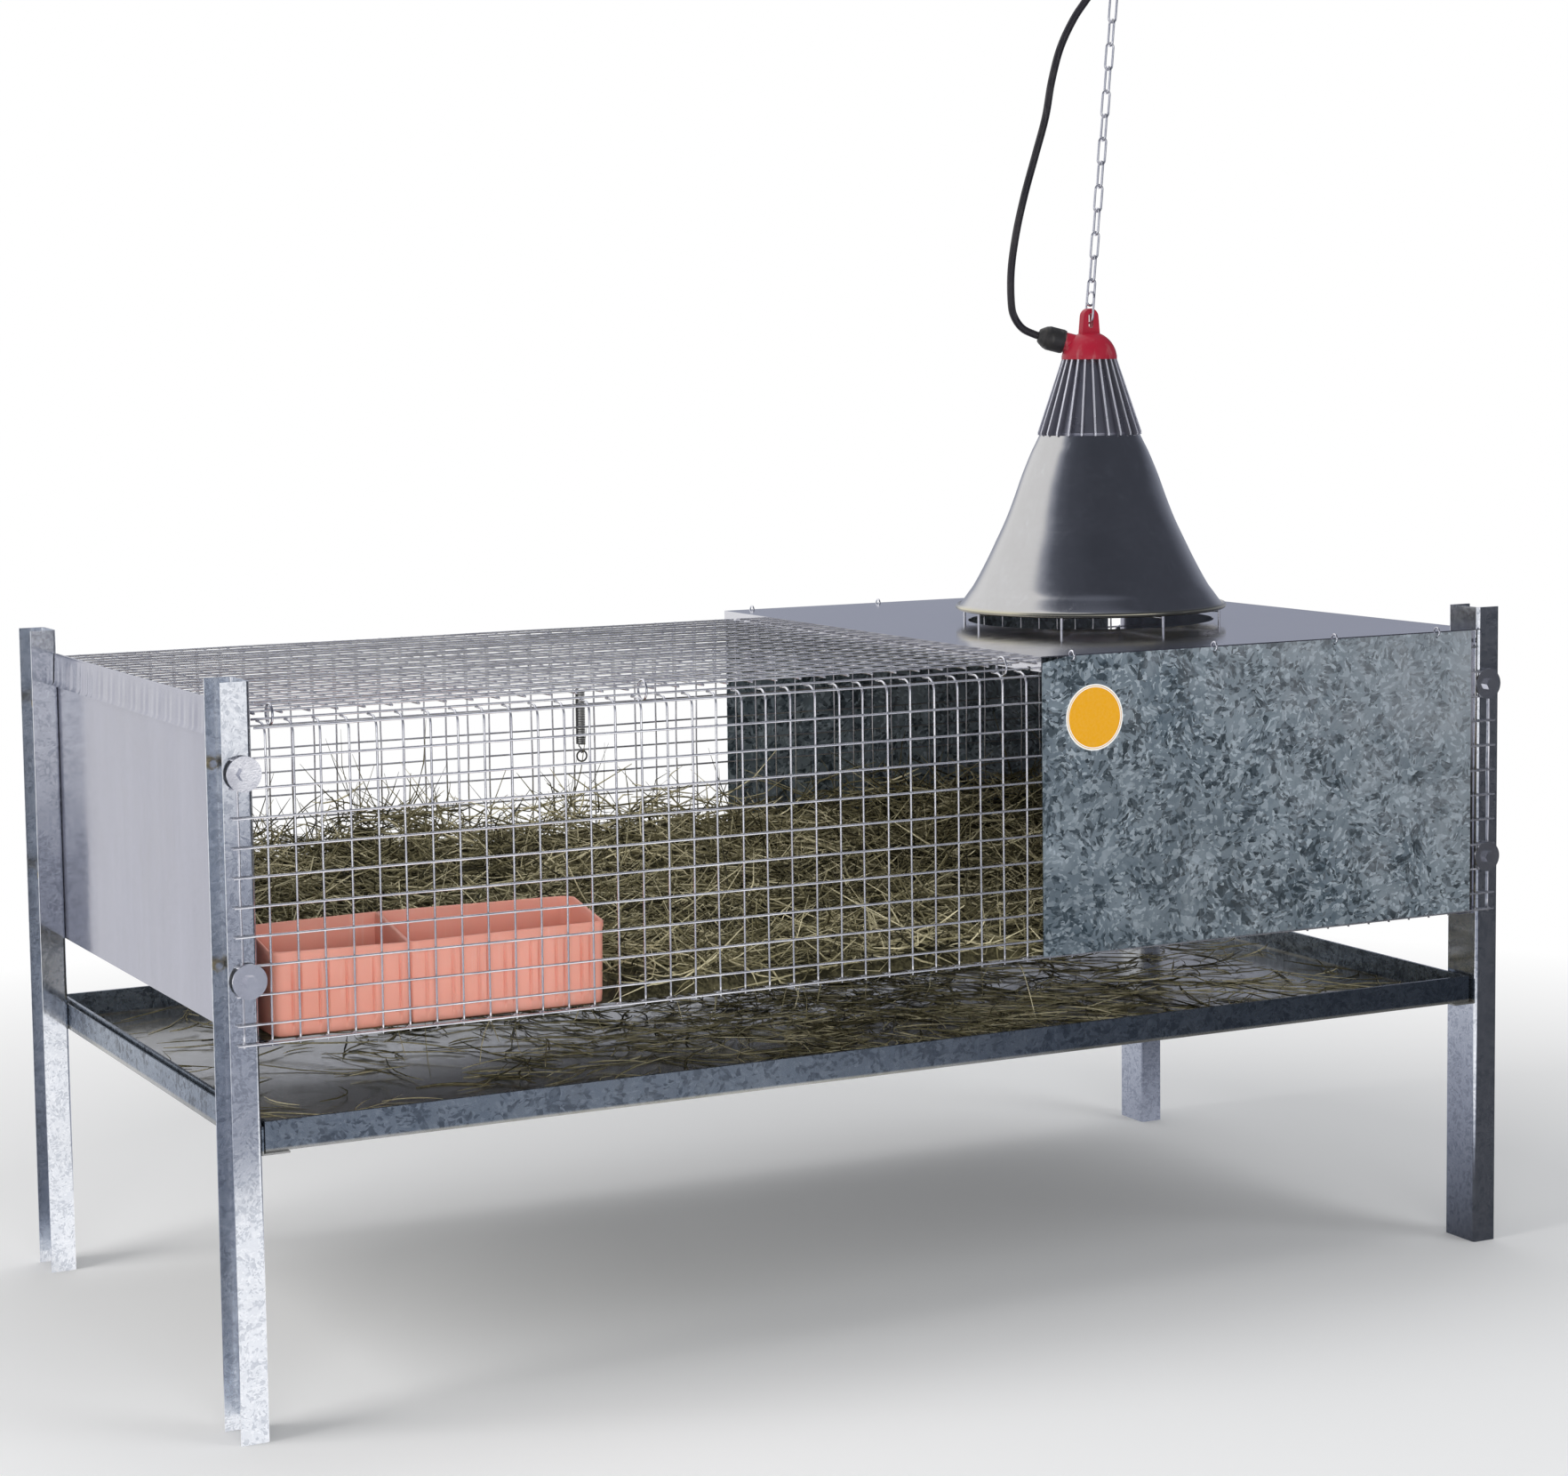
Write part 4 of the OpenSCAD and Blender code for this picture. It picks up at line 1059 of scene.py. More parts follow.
@dataclass
class LampCable:
    """Rubber cable from the gland to the ceiling rose, along the same points as the solid."""

    diameter: float = 6.0 * MM
    lamp_x: float = 298.75 * MM
    gland_turn: float = math.radians(154)
    gland_tilt: float = math.radians(15)
    boss_radius: float = 8.0 * MM
    boss_end: float = 20.6 * MM
    gland_length: float = 21.2 * MM
    fin_top: float = 686.0 * MM
    entry_side: float = -12.0 * MM
    sides: int = 14
    steps: int = 12
    # Sideways and upward steps from the gland's root on the lamp's axis, in millimetres
    bends: tuple[tuple[float, float], ...] = (
        (53, 16.5), (59.5, 25.5), (62, 37), (62, 62), (58, 91), (51, 122), (42, 154), (34, 183),
        (29, 211), (22, 237), (11, 260), (-2, 279), (-10, 294))

    def route(self) -> np.ndarray:
        """Smooth line through the gland's end, the bends and the rose's entry.

        A point lies its sideways step out from the lamp's axis, along the gland's direction, and its
        upward step above the gland's root.

        Returns:
            Points of shape (n, 3), from the gland's end to the rose.
        """
        root = self.fin_top + self.boss_radius / math.cos(self.gland_tilt) + 0.2 * MM
        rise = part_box("ceiling_rose")[1].z - 16.0 * MM - root
        out = self.boss_end + self.gland_length
        straight = np.array([out, out + 3.0 * MM])[:, None]
        ends = straight * np.array([math.cos(self.gland_tilt), math.sin(self.gland_tilt)])
        last = np.array([[self.entry_side, rise], [self.entry_side, rise + 3.8 * MM]])
        flat = np.concatenate([ends, np.array(self.bends) * MM, last])
        side, up = flat[:, 0], flat[:, 1]
        points = np.stack([self.lamp_x + side * math.cos(self.gland_turn), side * math.sin(self.gland_turn),
                           root + up], axis=-1)
        return smooth_line(points, self.steps)

    def build(self, rack: FinishRack) -> None:
        path = self.route()
        piece = Piece("lamp_lead", "lamp", "cable_black", ("lamp_cable",))
        skin = wires(path[None], self.diameter / 2, self.sides, (0.44, 0.9, 0.0))
        tube = place(piece, skin, rack, sharp=60.0)


@dataclass
class LampShade:
    """Spun bell with a rolled rim, as one turned profile."""

    rim_radius: float = 108.0 * MM
    neck_radius: float = 40.0 * MM
    bead: float = 2.4 * MM
    wall: float = 1.0 * MM
    crown_hole: float = 16.0 * MM
    segments: int = 160
    steps: int = 8
    # Outer line from the rim up to the neck, as parts of the width and height
    line: tuple[tuple[float, float], ...] = (
        (1.0, 0.0), (0.955, 0.025), (0.88, 0.075), (0.8, 0.13), (0.66, 0.255), (0.53, 0.385), (0.41, 0.51),
        (0.31, 0.635), (0.215, 0.765), (0.11, 0.89), (0.045, 0.955), (0.0, 1.0))

    def profile(self, low: float, high: float) -> np.ndarray:
        """Closed outline: up the outer wall, over the crown, down the inner wall and round the rim's bead.

        Args:
            low: Height of the rim's underside.
            high: Height of the neck.

        Returns:
            Points of shape (n, 2).
        """
        parts = np.array(self.line)
        width = self.rim_radius - 2.0 * MM - self.neck_radius
        base = low + self.bead
        outer = np.stack([self.neck_radius + parts[:, 0] * width, base + parts[:, 1] * (high - base)], -1)
        outer = smooth_line(outer, self.steps)[3:]
        inner = outer[::-1] - np.array([self.wall, 0.0])
        inner[:, 1] = np.minimum(inner[:, 1], high - self.wall)
        crown = np.array([[self.crown_hole, high], [self.crown_hole, high - self.wall]])
        angle = np.linspace(math.radians(190), math.radians(420), 20)
        centre = np.array([self.rim_radius - self.bead, base])
        roll = centre + self.bead * np.stack([np.cos(angle), np.sin(angle)], -1)
        return np.concatenate([outer, crown, inner, roll])

    def build(self, rack: FinishRack) -> None:
        """Turns the profile and puts it in the solid's place."""
        low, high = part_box("lamp_shade")
        centre = ((low.x + high.x) / 2, (low.y + high.y) / 2, 0.0)
        surface = turned(self.profile(low.z, high.z), centre, self.segments)
        place(Piece("lamp_bell", "lamp", "lamp_aluminium", ("lamp_shade",)), surface, rack, sharp=50.0)


# Wire meshes


@dataclass
class Cage:
    """Welded meshes: their wires, bends and welds, on the same lines as the solids."""

    half_length: float = 488.5 * MM
    half_depth: float = 248.0 * MM
    floor_level: float = 262.0 * MM
    roof_top: float = 478.0 * MM
    sheet: float = 0.8 * MM
    wire: float = 1.6 * MM
    pitch: float = 19.0 * MM
    layer_gap: float = 0.05 * MM
    weld: float = 0.22 * MM
    bend: float = 8.0 * MM
    lid_drop: float = 4.0 * MM
    lip_drop: float = 8.0 * MM
    flap_bend: float = 6.0 * MM
    flap_height: float = 48.0 * MM
    hinge_gap: float = 9.0 * MM
    column_out: float = 10.5 * MM
    roof_x: float = 95.5 * MM
    wobble: float = 0.22 * MM
    sides: int = 8
    seed: int = 41

    def __post_init__(self) -> None:
        """Works out the levels and the lines of the wires."""
        w = self.wire
        self.rng = np.random.default_rng(self.seed)
        roof_low = self.roof_top - self.sheet
        self.lip_z = roof_low - self.lip_drop - 1.5 * w - self.layer_gap
        self.lid_z = roof_low - self.lid_drop - 1.5 * w - self.layer_gap
        self.over = w + self.layer_gap - self.weld
        self.face_y = self.half_depth + w / 2
        self.row_y = self.half_depth + 1.5 * w + self.layer_gap - self.weld
        self.skin = 2 * w + self.layer_gap
        self.lip_y = -self.face_y + self.bend + 5.0 * MM
        self.hinge_y = self.lip_y + self.hinge_gap
        span = 2 * (self.half_length + self.column_out)
        count = round(span / self.pitch)
        self.columns = -span / 2 + np.arange(count + 1) * span / count
        row_top = roof_low - self.lip_drop - 5.2 * MM
        row_low = self.floor_level - w / 2
        self.rows = np.append(np.arange(row_top, row_low + 2 * w, -self.pitch), row_low)
        self.row_end = self.half_length + self.column_out + 4.5 * MM
        self.lid_x = (-self.half_length + self.sheet + 3.0 * MM, self.roof_x - 3.0 * MM)
        self.lid_columns = self.columns[1:][self.columns[1:] < self.lid_x[1] - 2.0 * MM]
        self.flap_y = self.half_depth + self.skin + 1.0 * MM + w / 2

    def bars(self, starts: np.ndarray, ends: np.ndarray, steps: int) -> np.ndarray:
        """Nearly straight lines from start to end, with a slow, slight wander that dies at the ends.

        Args:
            starts: Points of shape (n, 3).
            ends: Points of shape (n, 3).
            steps: Points on each line.

        Returns:
            Points of shape (n, steps, 3).
        """
        t = np.linspace(0.0, 1.0, steps)[None, :, None]
        line = starts[:, None] + t * (ends - starts)[:, None]
        turns = self.rng.uniform(1.0, 3.5, (len(starts), 1, 3))
        phase = self.rng.uniform(0, 2 * math.pi, (len(starts), 1, 3))
        wander = np.sin(2 * math.pi * turns * t + phase) * np.sin(math.pi * t)
        along = unit(ends - starts)[:, None]
        wander -= (wander * along).sum(-1, keepdims=True) * along
        return line + self.wobble * wander

    def grid(self, xs: object, ys: object, zs: object) -> np.ndarray:
        """Points of shape (n, 3) from three coordinates that spread over each other."""
        parts = np.broadcast_arrays(*(np.asarray(v, float) for v in (xs, ys, zs)))
        return np.stack(parts, -1).reshape(-1, 3)

    def rows_along_x(self, x0: float, x1: float, y: object, z: object, steps: int = 60) -> Surface:
        """Wires along X at each given y and z."""
        starts, ends = self.grid(x0, y, z), self.grid(x1, y, z)
        return wires(self.bars(starts, ends, steps), self.wire / 2, self.sides, (0.0, 0.7, 0.7))

    def welds(self, xs: np.ndarray, ys: object, zs: object) -> Surface:
        """Beads of zinc where wires cross."""
        spots = self.grid(np.asarray(xs)[:, None], np.asarray(ys)[None], np.asarray(zs)[None])
        return beads(spots, (self.wire * 0.85,) * 3)

    def front(self, rack: FinishRack) -> None:
        """Front mesh: uprights that bend over the top into a lip, rows in front of them."""
        low = self.rows[-1] - 2.0 * MM
        turn = self.lip_z - self.bend
        rise = np.linspace(low, turn, 30)
        angle = np.linspace(math.pi, math.pi / 2, 11)[1:]
        bent = -self.face_y + self.bend + self.bend * np.cos(angle)
        y = np.concatenate([np.full(len(rise), -self.face_y), bent, [self.lip_y + 2.0 * MM]])
        z = np.concatenate([rise, turn + self.bend * np.sin(angle), [self.lip_z]])
        inner = self.columns[1:-1]
        paths = np.stack(np.broadcast_arrays(inner[:, None], y[None], z[None]), -1)
        sway = self.rng.uniform(-1, 1, (len(inner), 1)) * np.sin(np.pi * np.linspace(0, 1, len(y)))[None]
        paths = paths + 3 * self.wobble * sway[..., None] * np.array([1.0, 0.0, 0.0])
        ends = self.columns[[0, -1]]
        reach = self.rows[1] + 2.0 * MM
        short = self.bars(self.grid(ends, -self.face_y, low), self.grid(ends, -self.face_y, reach), 20)
        lean = math.asin((self.rows[0] - turn) / (self.bend + self.over))
        out = np.array([self.bend + self.over, self.bend + self.over / 2])
        top_y, bead_y = -self.face_y + self.bend - out * math.cos(lean)
        top_end = self.half_length - 1.5 * MM
        parts = [wires(paths, self.wire / 2, self.sides, (1.0, 0.0, 0.0)),
                 wires(short, self.wire / 2, self.sides, (1.0, 0.0, 0.0)),
                 self.rows_along_x(-top_end, top_end, [top_y], [self.rows[0]]),
                 self.rows_along_x(-self.row_end, self.row_end, -self.row_y, self.rows[1:]),
                 self.rows_along_x(self.lid_x[0], -self.lid_x[0], [self.lip_y], [self.lip_z + self.over]),
                 self.welds(inner, [bead_y], [turn + out[1] * math.sin(lean)]),
                 self.welds(inner, [self.lip_y], [self.lip_z + self.over / 2]),
                 self.welds(self.columns, -(self.face_y + self.row_y) / 2, self.rows[1:])]
        place(Piece("front_wires", "cage", "wire_zinc", ("front_mesh",)), Surface.join(parts), rack)

    def rear(self, rack: FinishRack) -> None:
        """Rear mesh: flat uprights and rows."""
        low = self.rows[-1] - 2.0 * MM
        tops = np.full(len(self.columns), self.lid_z - 1.8 * MM)
        tops[[0, -1]] = self.rows[0] + 2.0 * MM
        feet = self.grid(self.columns, self.face_y, low)
        stems = self.bars(feet, self.grid(self.columns, self.face_y, tops), 24)
        parts = [wires(stems, self.wire / 2, self.sides, (1.0, 0.0, 0.0)),
                 self.rows_along_x(-self.row_end, self.row_end, self.row_y, self.rows),
                 self.welds(self.columns, (self.face_y + self.row_y) / 2, self.rows)]
        place(Piece("rear_wires", "cage", "wire_zinc", ("rear_mesh",)), Surface.join(parts), rack)

    def floor(self, rack: FinishRack) -> None:
        """Floor mesh: cross wires on top of long ones, on the ledges."""
        x = self.half_length - self.sheet - 0.5 * MM
        y = self.half_depth - 0.6 * MM
        edge = y - 4.0 * MM
        count = round(2 * edge / self.pitch)
        ys = np.linspace(-edge, edge, count + 1)
        level = self.floor_level - self.skin + self.wire / 2 + self.weld
        inner = self.columns[1:-1]
        top = self.floor_level - self.wire / 2
        cross = self.bars(self.grid(inner, -y, top), self.grid(inner, y, top), 30)
        parts = [wires(cross, self.wire / 2, self.sides, (1.0, 0.0, 0.0)),
                 self.rows_along_x(-x, x, ys, level),
                 self.welds(inner, ys, np.full(len(ys), (top + level) / 2))]
        place(Piece("floor_wires", "cage", "wire_zinc", ("floor_mesh",)), Surface.join(parts), rack)

    def lid(self, rack: FinishRack) -> None:
        """Lid mesh: wires from the hinge to the back, bent down into a flap, with long wires across."""
        flap_low = self.lid_z - self.flap_height + 2.0 * MM
        start = self.hinge_y - 2.0 * MM
        turn = self.flap_y - self.flap_bend
        angle = np.linspace(math.pi / 2, 0.0, 9)
        level = np.linspace(start, turn, 29, endpoint=False)
        y = np.concatenate([level, turn + self.flap_bend * np.cos(angle), [self.flap_y]])
        bent = self.lid_z - self.flap_bend + self.flap_bend * np.sin(angle)
        z = np.concatenate([np.full(len(level), self.lid_z), bent, [flap_low - 2.0 * MM]])
        paths = np.stack(np.broadcast_arrays(self.lid_columns[:, None], y[None], z[None]), -1)
        sway = self.rng.uniform(-1, 1, (len(paths), 1)) * np.sin(np.pi * np.linspace(0, 1, len(y)))[None]
        paths = paths + 3 * self.wobble * sway[..., None] * np.array([1.0, 0.0, 0.0])
        count = math.floor((turn - 2.0 * MM - self.hinge_y) / self.pitch)
        ys = self.hinge_y + np.arange(count + 1) * self.pitch
        flap_y = self.flap_y + self.wire + self.layer_gap - self.weld
        high = self.lid_z - self.flap_bend - 4.0 * MM
        zs = np.array([high, (high + flap_low) / 2, flap_low])
        parts = [wires(paths, self.wire / 2, self.sides, (1.0, 0.0, 0.0)),
                 self.rows_along_x(*self.lid_x, ys, self.lid_z + self.over),
                 self.rows_along_x(*self.lid_x, flap_y, zs),
                 self.welds(self.lid_columns, ys, np.full(len(ys), self.lid_z + self.over / 2)),
                 self.welds(self.lid_columns, np.full(len(zs), (self.flap_y + flap_y) / 2), zs)]
        place(Piece("lid_wires", "lid", "wire_zinc", ("lid_mesh",)), Surface.join(parts), rack)

    def build(self, rack: FinishRack) -> None:
        """Makes all four meshes."""
        self.front(rack)
        self.rear(rack)
        self.floor(rack)
        self.lid(rack)


@dataclass
class SpringLatch:
    """Black wire spring with a hook at its top and an eye at its foot."""

    wire: float = 1.0 * MM
    turns: int = 34
    height: float = 46.0 * MM
    radius: float = 3.6 * MM
    x: float = -37.66 * MM
    y: float = 255.75 * MM
    pivot: tuple[float, float] = (254.7 * MM, 424.75 * MM)
    hook: float = 1.7 * MM
    eye: float = 1.7 * MM
    steps: int = 24
    sides: int = 8

    def build(self, rack: FinishRack) -> None:
        """Carries a round wire along the hook, the helix and the eye."""
        top = self.pivot[1] - 6.0 * MM
        foot = top - self.height
        angle = np.radians(np.arange(225, -1, -15))
        hook = np.stack([0 * angle + self.x, self.pivot[0] + self.hook * np.cos(angle),
                         self.pivot[1] + self.hook * np.sin(angle)], -1)
        lead = np.array([[self.x, self.y + 0.6 * MM, top + 2.2 * MM],
                         [self.x, self.y + 2.2 * MM, top + 1.0 * MM]])
        t = np.linspace(0, self.turns, self.turns * self.steps + 1)
        a = 2 * math.pi * t + math.pi / 2
        drop = self.height * t / self.turns
        helix = np.stack([self.x + self.radius * np.cos(a), self.y + self.radius * np.sin(a),
                          top - drop], -1)
        tail = np.array([[self.x - 1.2 * MM, self.y + 1.2 * MM, foot - 1.2 * MM],
                         [self.x, self.y, foot - 3.0 * MM]])
        angle = np.radians(np.arange(0, -226, -15))
        eye = np.stack([0 * angle + self.x, self.y - self.eye + self.eye * np.cos(angle),
                        foot - 5.0 * MM + self.eye * np.sin(angle)], -1)
        path = np.concatenate([hook, lead, helix, tail, eye])
        coil = wires(path[None], self.wire / 2, self.sides, (0.12, 0.05, 1.0))
        place(Piece("latch_coil", "latch", "latch_black", ("latch_spring",)), coil, rack)


# Panel hems


@dataclass
class PanelHem:
    """Top edge of an end panel, folded to the outside and standing off at its foot, with slight dents."""

    half_span: float = 211.0 * MM
    depth: float = 23.6 * MM
    wall: float = 0.8 * MM
    fold: float = 1.75 * MM
    fold_middle: float = 0.4 * MM
    fold_drop: float = 1.0 * MM
    stand_off: float = 0.9 * MM
    flare: float = 1.2 * MM
    flare_start: float = 0.86
    dent: float = 0.45 * MM
    wave_shares: tuple[float, ...] = (0.45, 0.33, 0.22)
    wave_turns: tuple[float, ...] = (163.0, 391.0, 617.0)
    fold_steps: int = 9
    leaf_steps: int = 24
    leaf_start: float = 0.06
    rows: int = 420
    seed: int = 7

    def outline(self) -> np.ndarray:
        """Closed outline of the folded strip, as (distance outwards, height) from the panel's top edge.

        It follows the fold's half circle and the outer leaf down to its foot, which flares by the square of
        the way past flare_start, then returns one wall inside.

        Returns:
            Points of shape (n, 2).
        """
        angle = np.linspace(math.pi, 0.0, self.fold_steps)
        arc = np.stack([np.cos(angle), np.sin(angle)], -1)
        middle = np.array([self.fold_middle, -self.fold_drop])
        leaf = np.linspace(self.leaf_start, 1.0, self.leaf_steps)[:, None]
        flare = np.clip((leaf - self.flare_start) / (1.0 - self.flare_start), 0.0, 1.0)**2
        flare = flare * np.array([self.flare, 0.0])
        foot = np.array([self.fold_middle + self.fold + self.stand_off, -self.depth])
        outer = middle + self.fold * arc
        outer = np.concatenate([outer, outer[-1] + leaf * (foot - outer[-1]) + flare])
        inner = middle + (self.fold - self.wall) * arc
        inside = foot - np.array([self.wall, 0.0])
        inner = np.concatenate([inner, inner[-1] + leaf * (inside - inner[-1]) + flare])
        return np.concatenate([outer, inner[::-1]])

    def strip(self, side: int) -> Surface:
        """Carries the outline along Y and pushes it in and out by a sum of sine waves, most in mid height.

        Args:
            side: -1 for the left panel, 1 for the right one.

        Returns:
            A closed surface.
        """
        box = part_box("end_panel_left" if side < 0 else "end_panel_right")
        face = abs(box[0].x if side < 0 else box[1].x) - self.wall
        line = self.outline()
        y = np.linspace(-self.half_span, self.half_span, self.rows)[:, None]
        phase = np.random.default_rng(self.seed).uniform(0, 2 * math.pi, len(self.wave_turns))
        trains = zip(self.wave_shares, self.wave_turns, phase)
        waves = sum(part * np.sin(turns * y + start) for part, turns, start in trains)
        share = np.clip(-line[:, 1] / self.depth, 0.0, 1.0)[None]
        out = line[None, :, 0] + self.dent * waves * np.sin(0.75 * math.pi * share)
        points = np.stack(np.broadcast_arrays(side * (face + out), y, box[1].z + line[None, :, 1]), -1)
        faces = grid_quads(self.rows, len(line), close_cols=True)
        ends = np.stack([np.arange(len(line))[::-1], np.arange(len(line)) + (self.rows - 1) * len(line)])
        blocks = [faces, ends] if side > 0 else [faces[:, ::-1], ends[:, ::-1]]
        return Surface(points.reshape(-1, 3), blocks)

    def build(self, rack: FinishRack) -> None:
        """Puts a hem over each panel's top edge."""
        for name, side in (("panel_hem_left", -1), ("panel_hem_right", 1)):
            place(Piece(name, "cage", "panel_zinc"), self.strip(side), rack, sharp=50.0)


# Trough


@dataclass
class FeedTrough:
    """Moulded trough of two cups side by side, with upright ribs on the front and a sloping rim."""

    width: float = 62.0 * MM
    corner: float = 9.0 * MM
    seam_corner: float = 2.6 * MM
    least_corner: float = 0.3 * MM
    split: float = 0.4
    front_height: float = 54.0 * MM
    ribs: int = 12
    rib_edge: float = 16.0 * MM
    rib_width: float = 4.2 * MM
    rib_height: float = 1.3 * MM
    rib_flank: float = 0.6 * MM
    groove_width: float = 1.8 * MM
    groove_depth: float = 1.0 * MM
    corner_steps: int = 8
    side_step: float = 0.5 * MM

    def loop(self, length: float, radii: Sequence[float]) -> tuple[np.ndarray, np.ndarray, np.ndarray]:
        """Rounded rectangle with a radius for each corner.

        Args:
            length: Outer size along X.
            radii: Corner radii, anticlockwise from the front's left end.

        Returns:
            Points between the corner centres and outward directions, both of shape (n, 2), and the radius
            at each point, which changes evenly along a side.
        """
        r = np.asarray(radii)
        far = np.array([[0, 0], [length, 0], [length, self.width], [0, self.width]])
        spots = far + r[:, None] * np.array([[1, 1], [-1, 1], [-1, -1], [1, -1]])
        points, ways, reach = [], [], []
        for i, spot in enumerate(spots):
            turn = (i - 1) * math.pi / 2
            following, next_r = spots[(i + 1) % 4], r[(i + 1) % 4]
            count = max(3, int(np.linalg.norm(following - spot) / self.side_step))
            t = np.linspace(0, 1, count, endpoint=False)[:, None]
            bend = turn + np.linspace(0, math.pi / 2, self.corner_steps, endpoint=False)
            points += [spot + t * (following - spot), np.broadcast_to(following, (self.corner_steps, 2))]
            angle = np.concatenate([np.full(count, turn), bend])
            ways.append(np.stack([np.cos(angle), np.sin(angle)], -1))
            reach += [r[i] + t[:, 0] * (next_r - r[i]), np.full(self.corner_steps, next_r)]
        return np.concatenate(points), np.concatenate(ways), np.concatenate(reach)

    def relief(self, x: np.ndarray, centres: np.ndarray) -> np.ndarray:
        """How far the front wall stands out along X: a flat rib at each centre with a groove on each side."""
        away = np.abs(x - centres[:, None]).min(axis=0)
        rise = np.clip((self.rib_width / 2 - away) / self.rib_flank + 0.5, 0, 1)
        half = self.groove_width / 2
        dip = np.clip(1 - np.abs(away - self.rib_width / 2 - half) / half, 0, 1)
        return self.rib_height * rise**2 * (3 - 2 * rise) - self.groove_depth * dip

    def cup(self, x0: float, length: float, radii: Sequence[float], back_height: float,
            centres: np.ndarray) -> Surface:
        """One cup: rings of the rounded rectangle, each drawn in by its own amount and at its own height.

        A ring point is the corner-centre point plus (radius minus draw) times the outward direction, its
        height a part of the rim's height there, and the front wall follows the relief of the ribs.

        Args:
            x0: Place of the cup's left side.
            length: Size along X.
            radii: Corner radii, anticlockwise from the front's left end.
            back_height: Height of the rim at the back.
            centres: Places of the ribs along X.

        Returns:
            A closed surface from the underside over the rim to the cup's floor.
        """
        points, ways, radius = self.loop(length, radii)
        draw = np.array([4, 1.6, 1.2, 1.0, 0.9, 0.6, 0.3, 0.2, 0.1, -0.5, -0.5, 0.0, 0.7]) * MM
        part = np.array([0, 0, 0.012, 0.1, 0.13, 0.4, 0.7, 0.84, 0.88, 0.93, 0.985, 1.0, 1.0])
        lift = np.array([0, 0.3, 0.5, 0, 0, 0, 0, 0, 0, 0, 0, -0.15, 0]) * MM
        inner_draw = np.array([1.6, 2.0, 2.3, 2.6, 2.9, 3.2, 4.2, 6.5]) * MM
        inner_part = np.array([0.985, 0.9, 0.7, 0.4, 0.15, 0.07, 0.05, 0.045])
        outer_rings = len(draw)
        draw = np.concatenate([draw, inner_draw])
        part = np.concatenate([part, inner_part])
        lift = np.concatenate([lift, np.zeros(len(inner_part))])
        out = np.maximum(radius[None] - draw[:, None], self.least_corner)
        x = points[None, :, 0] + out * ways[None, :, 0]
        y = points[None, :, 1] + out * ways[None, :, 1]
        slope = self.front_height + (back_height - self.front_height) * points[:, 1] / self.width
        z = part[:, None] * slope[None] + lift[:, None]
        front = self.relief(points[:, 0] + x0, centres) * (ways[:, 1] < -0.99)
        tall = np.interp(part, [0.1, 0.13, 0.84, 0.88], [0, 1, 1, 0])
        tall = tall * (np.arange(len(part)) < outer_rings)
        y = y - tall[:, None] * front[None]
        rings, count = x.shape
        shell = np.stack([x + x0, y, z], -1).reshape(-1, 3)
        faces = grid_quads(rings, count, close_cols=True)
        under = np.arange(count)[::-1][None]
        inside = (np.arange(count) + (rings - 1) * count)[None]
        return Surface(shell, [faces, under, inside])

    def build(self, rack: FinishRack) -> None:
        """Sets the two cups side by side in the solid's place."""
        low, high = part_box("feed_trough")
        size = high - low
        cut = self.split * size.x
        centres = np.linspace(self.rib_edge, size.x - self.rib_edge, self.ribs)
        left = (self.corner, self.seam_corner, self.seam_corner, self.corner)
        right = (self.seam_corner, self.corner, self.corner, self.seam_corner)
        cups = [self.cup(0.0, cut, left, size.z, centres),
                self.cup(cut, size.x - cut, right, size.z, centres)]
        surface = Surface.join(cups)
        surface.points += np.array([low.x, high.y - self.width, low.z])
        piece = Piece("trough_moulding", "trough", "trough_plastic", ("feed_trough",))
        place(piece, surface, rack, sharp=70.0)


# Hay


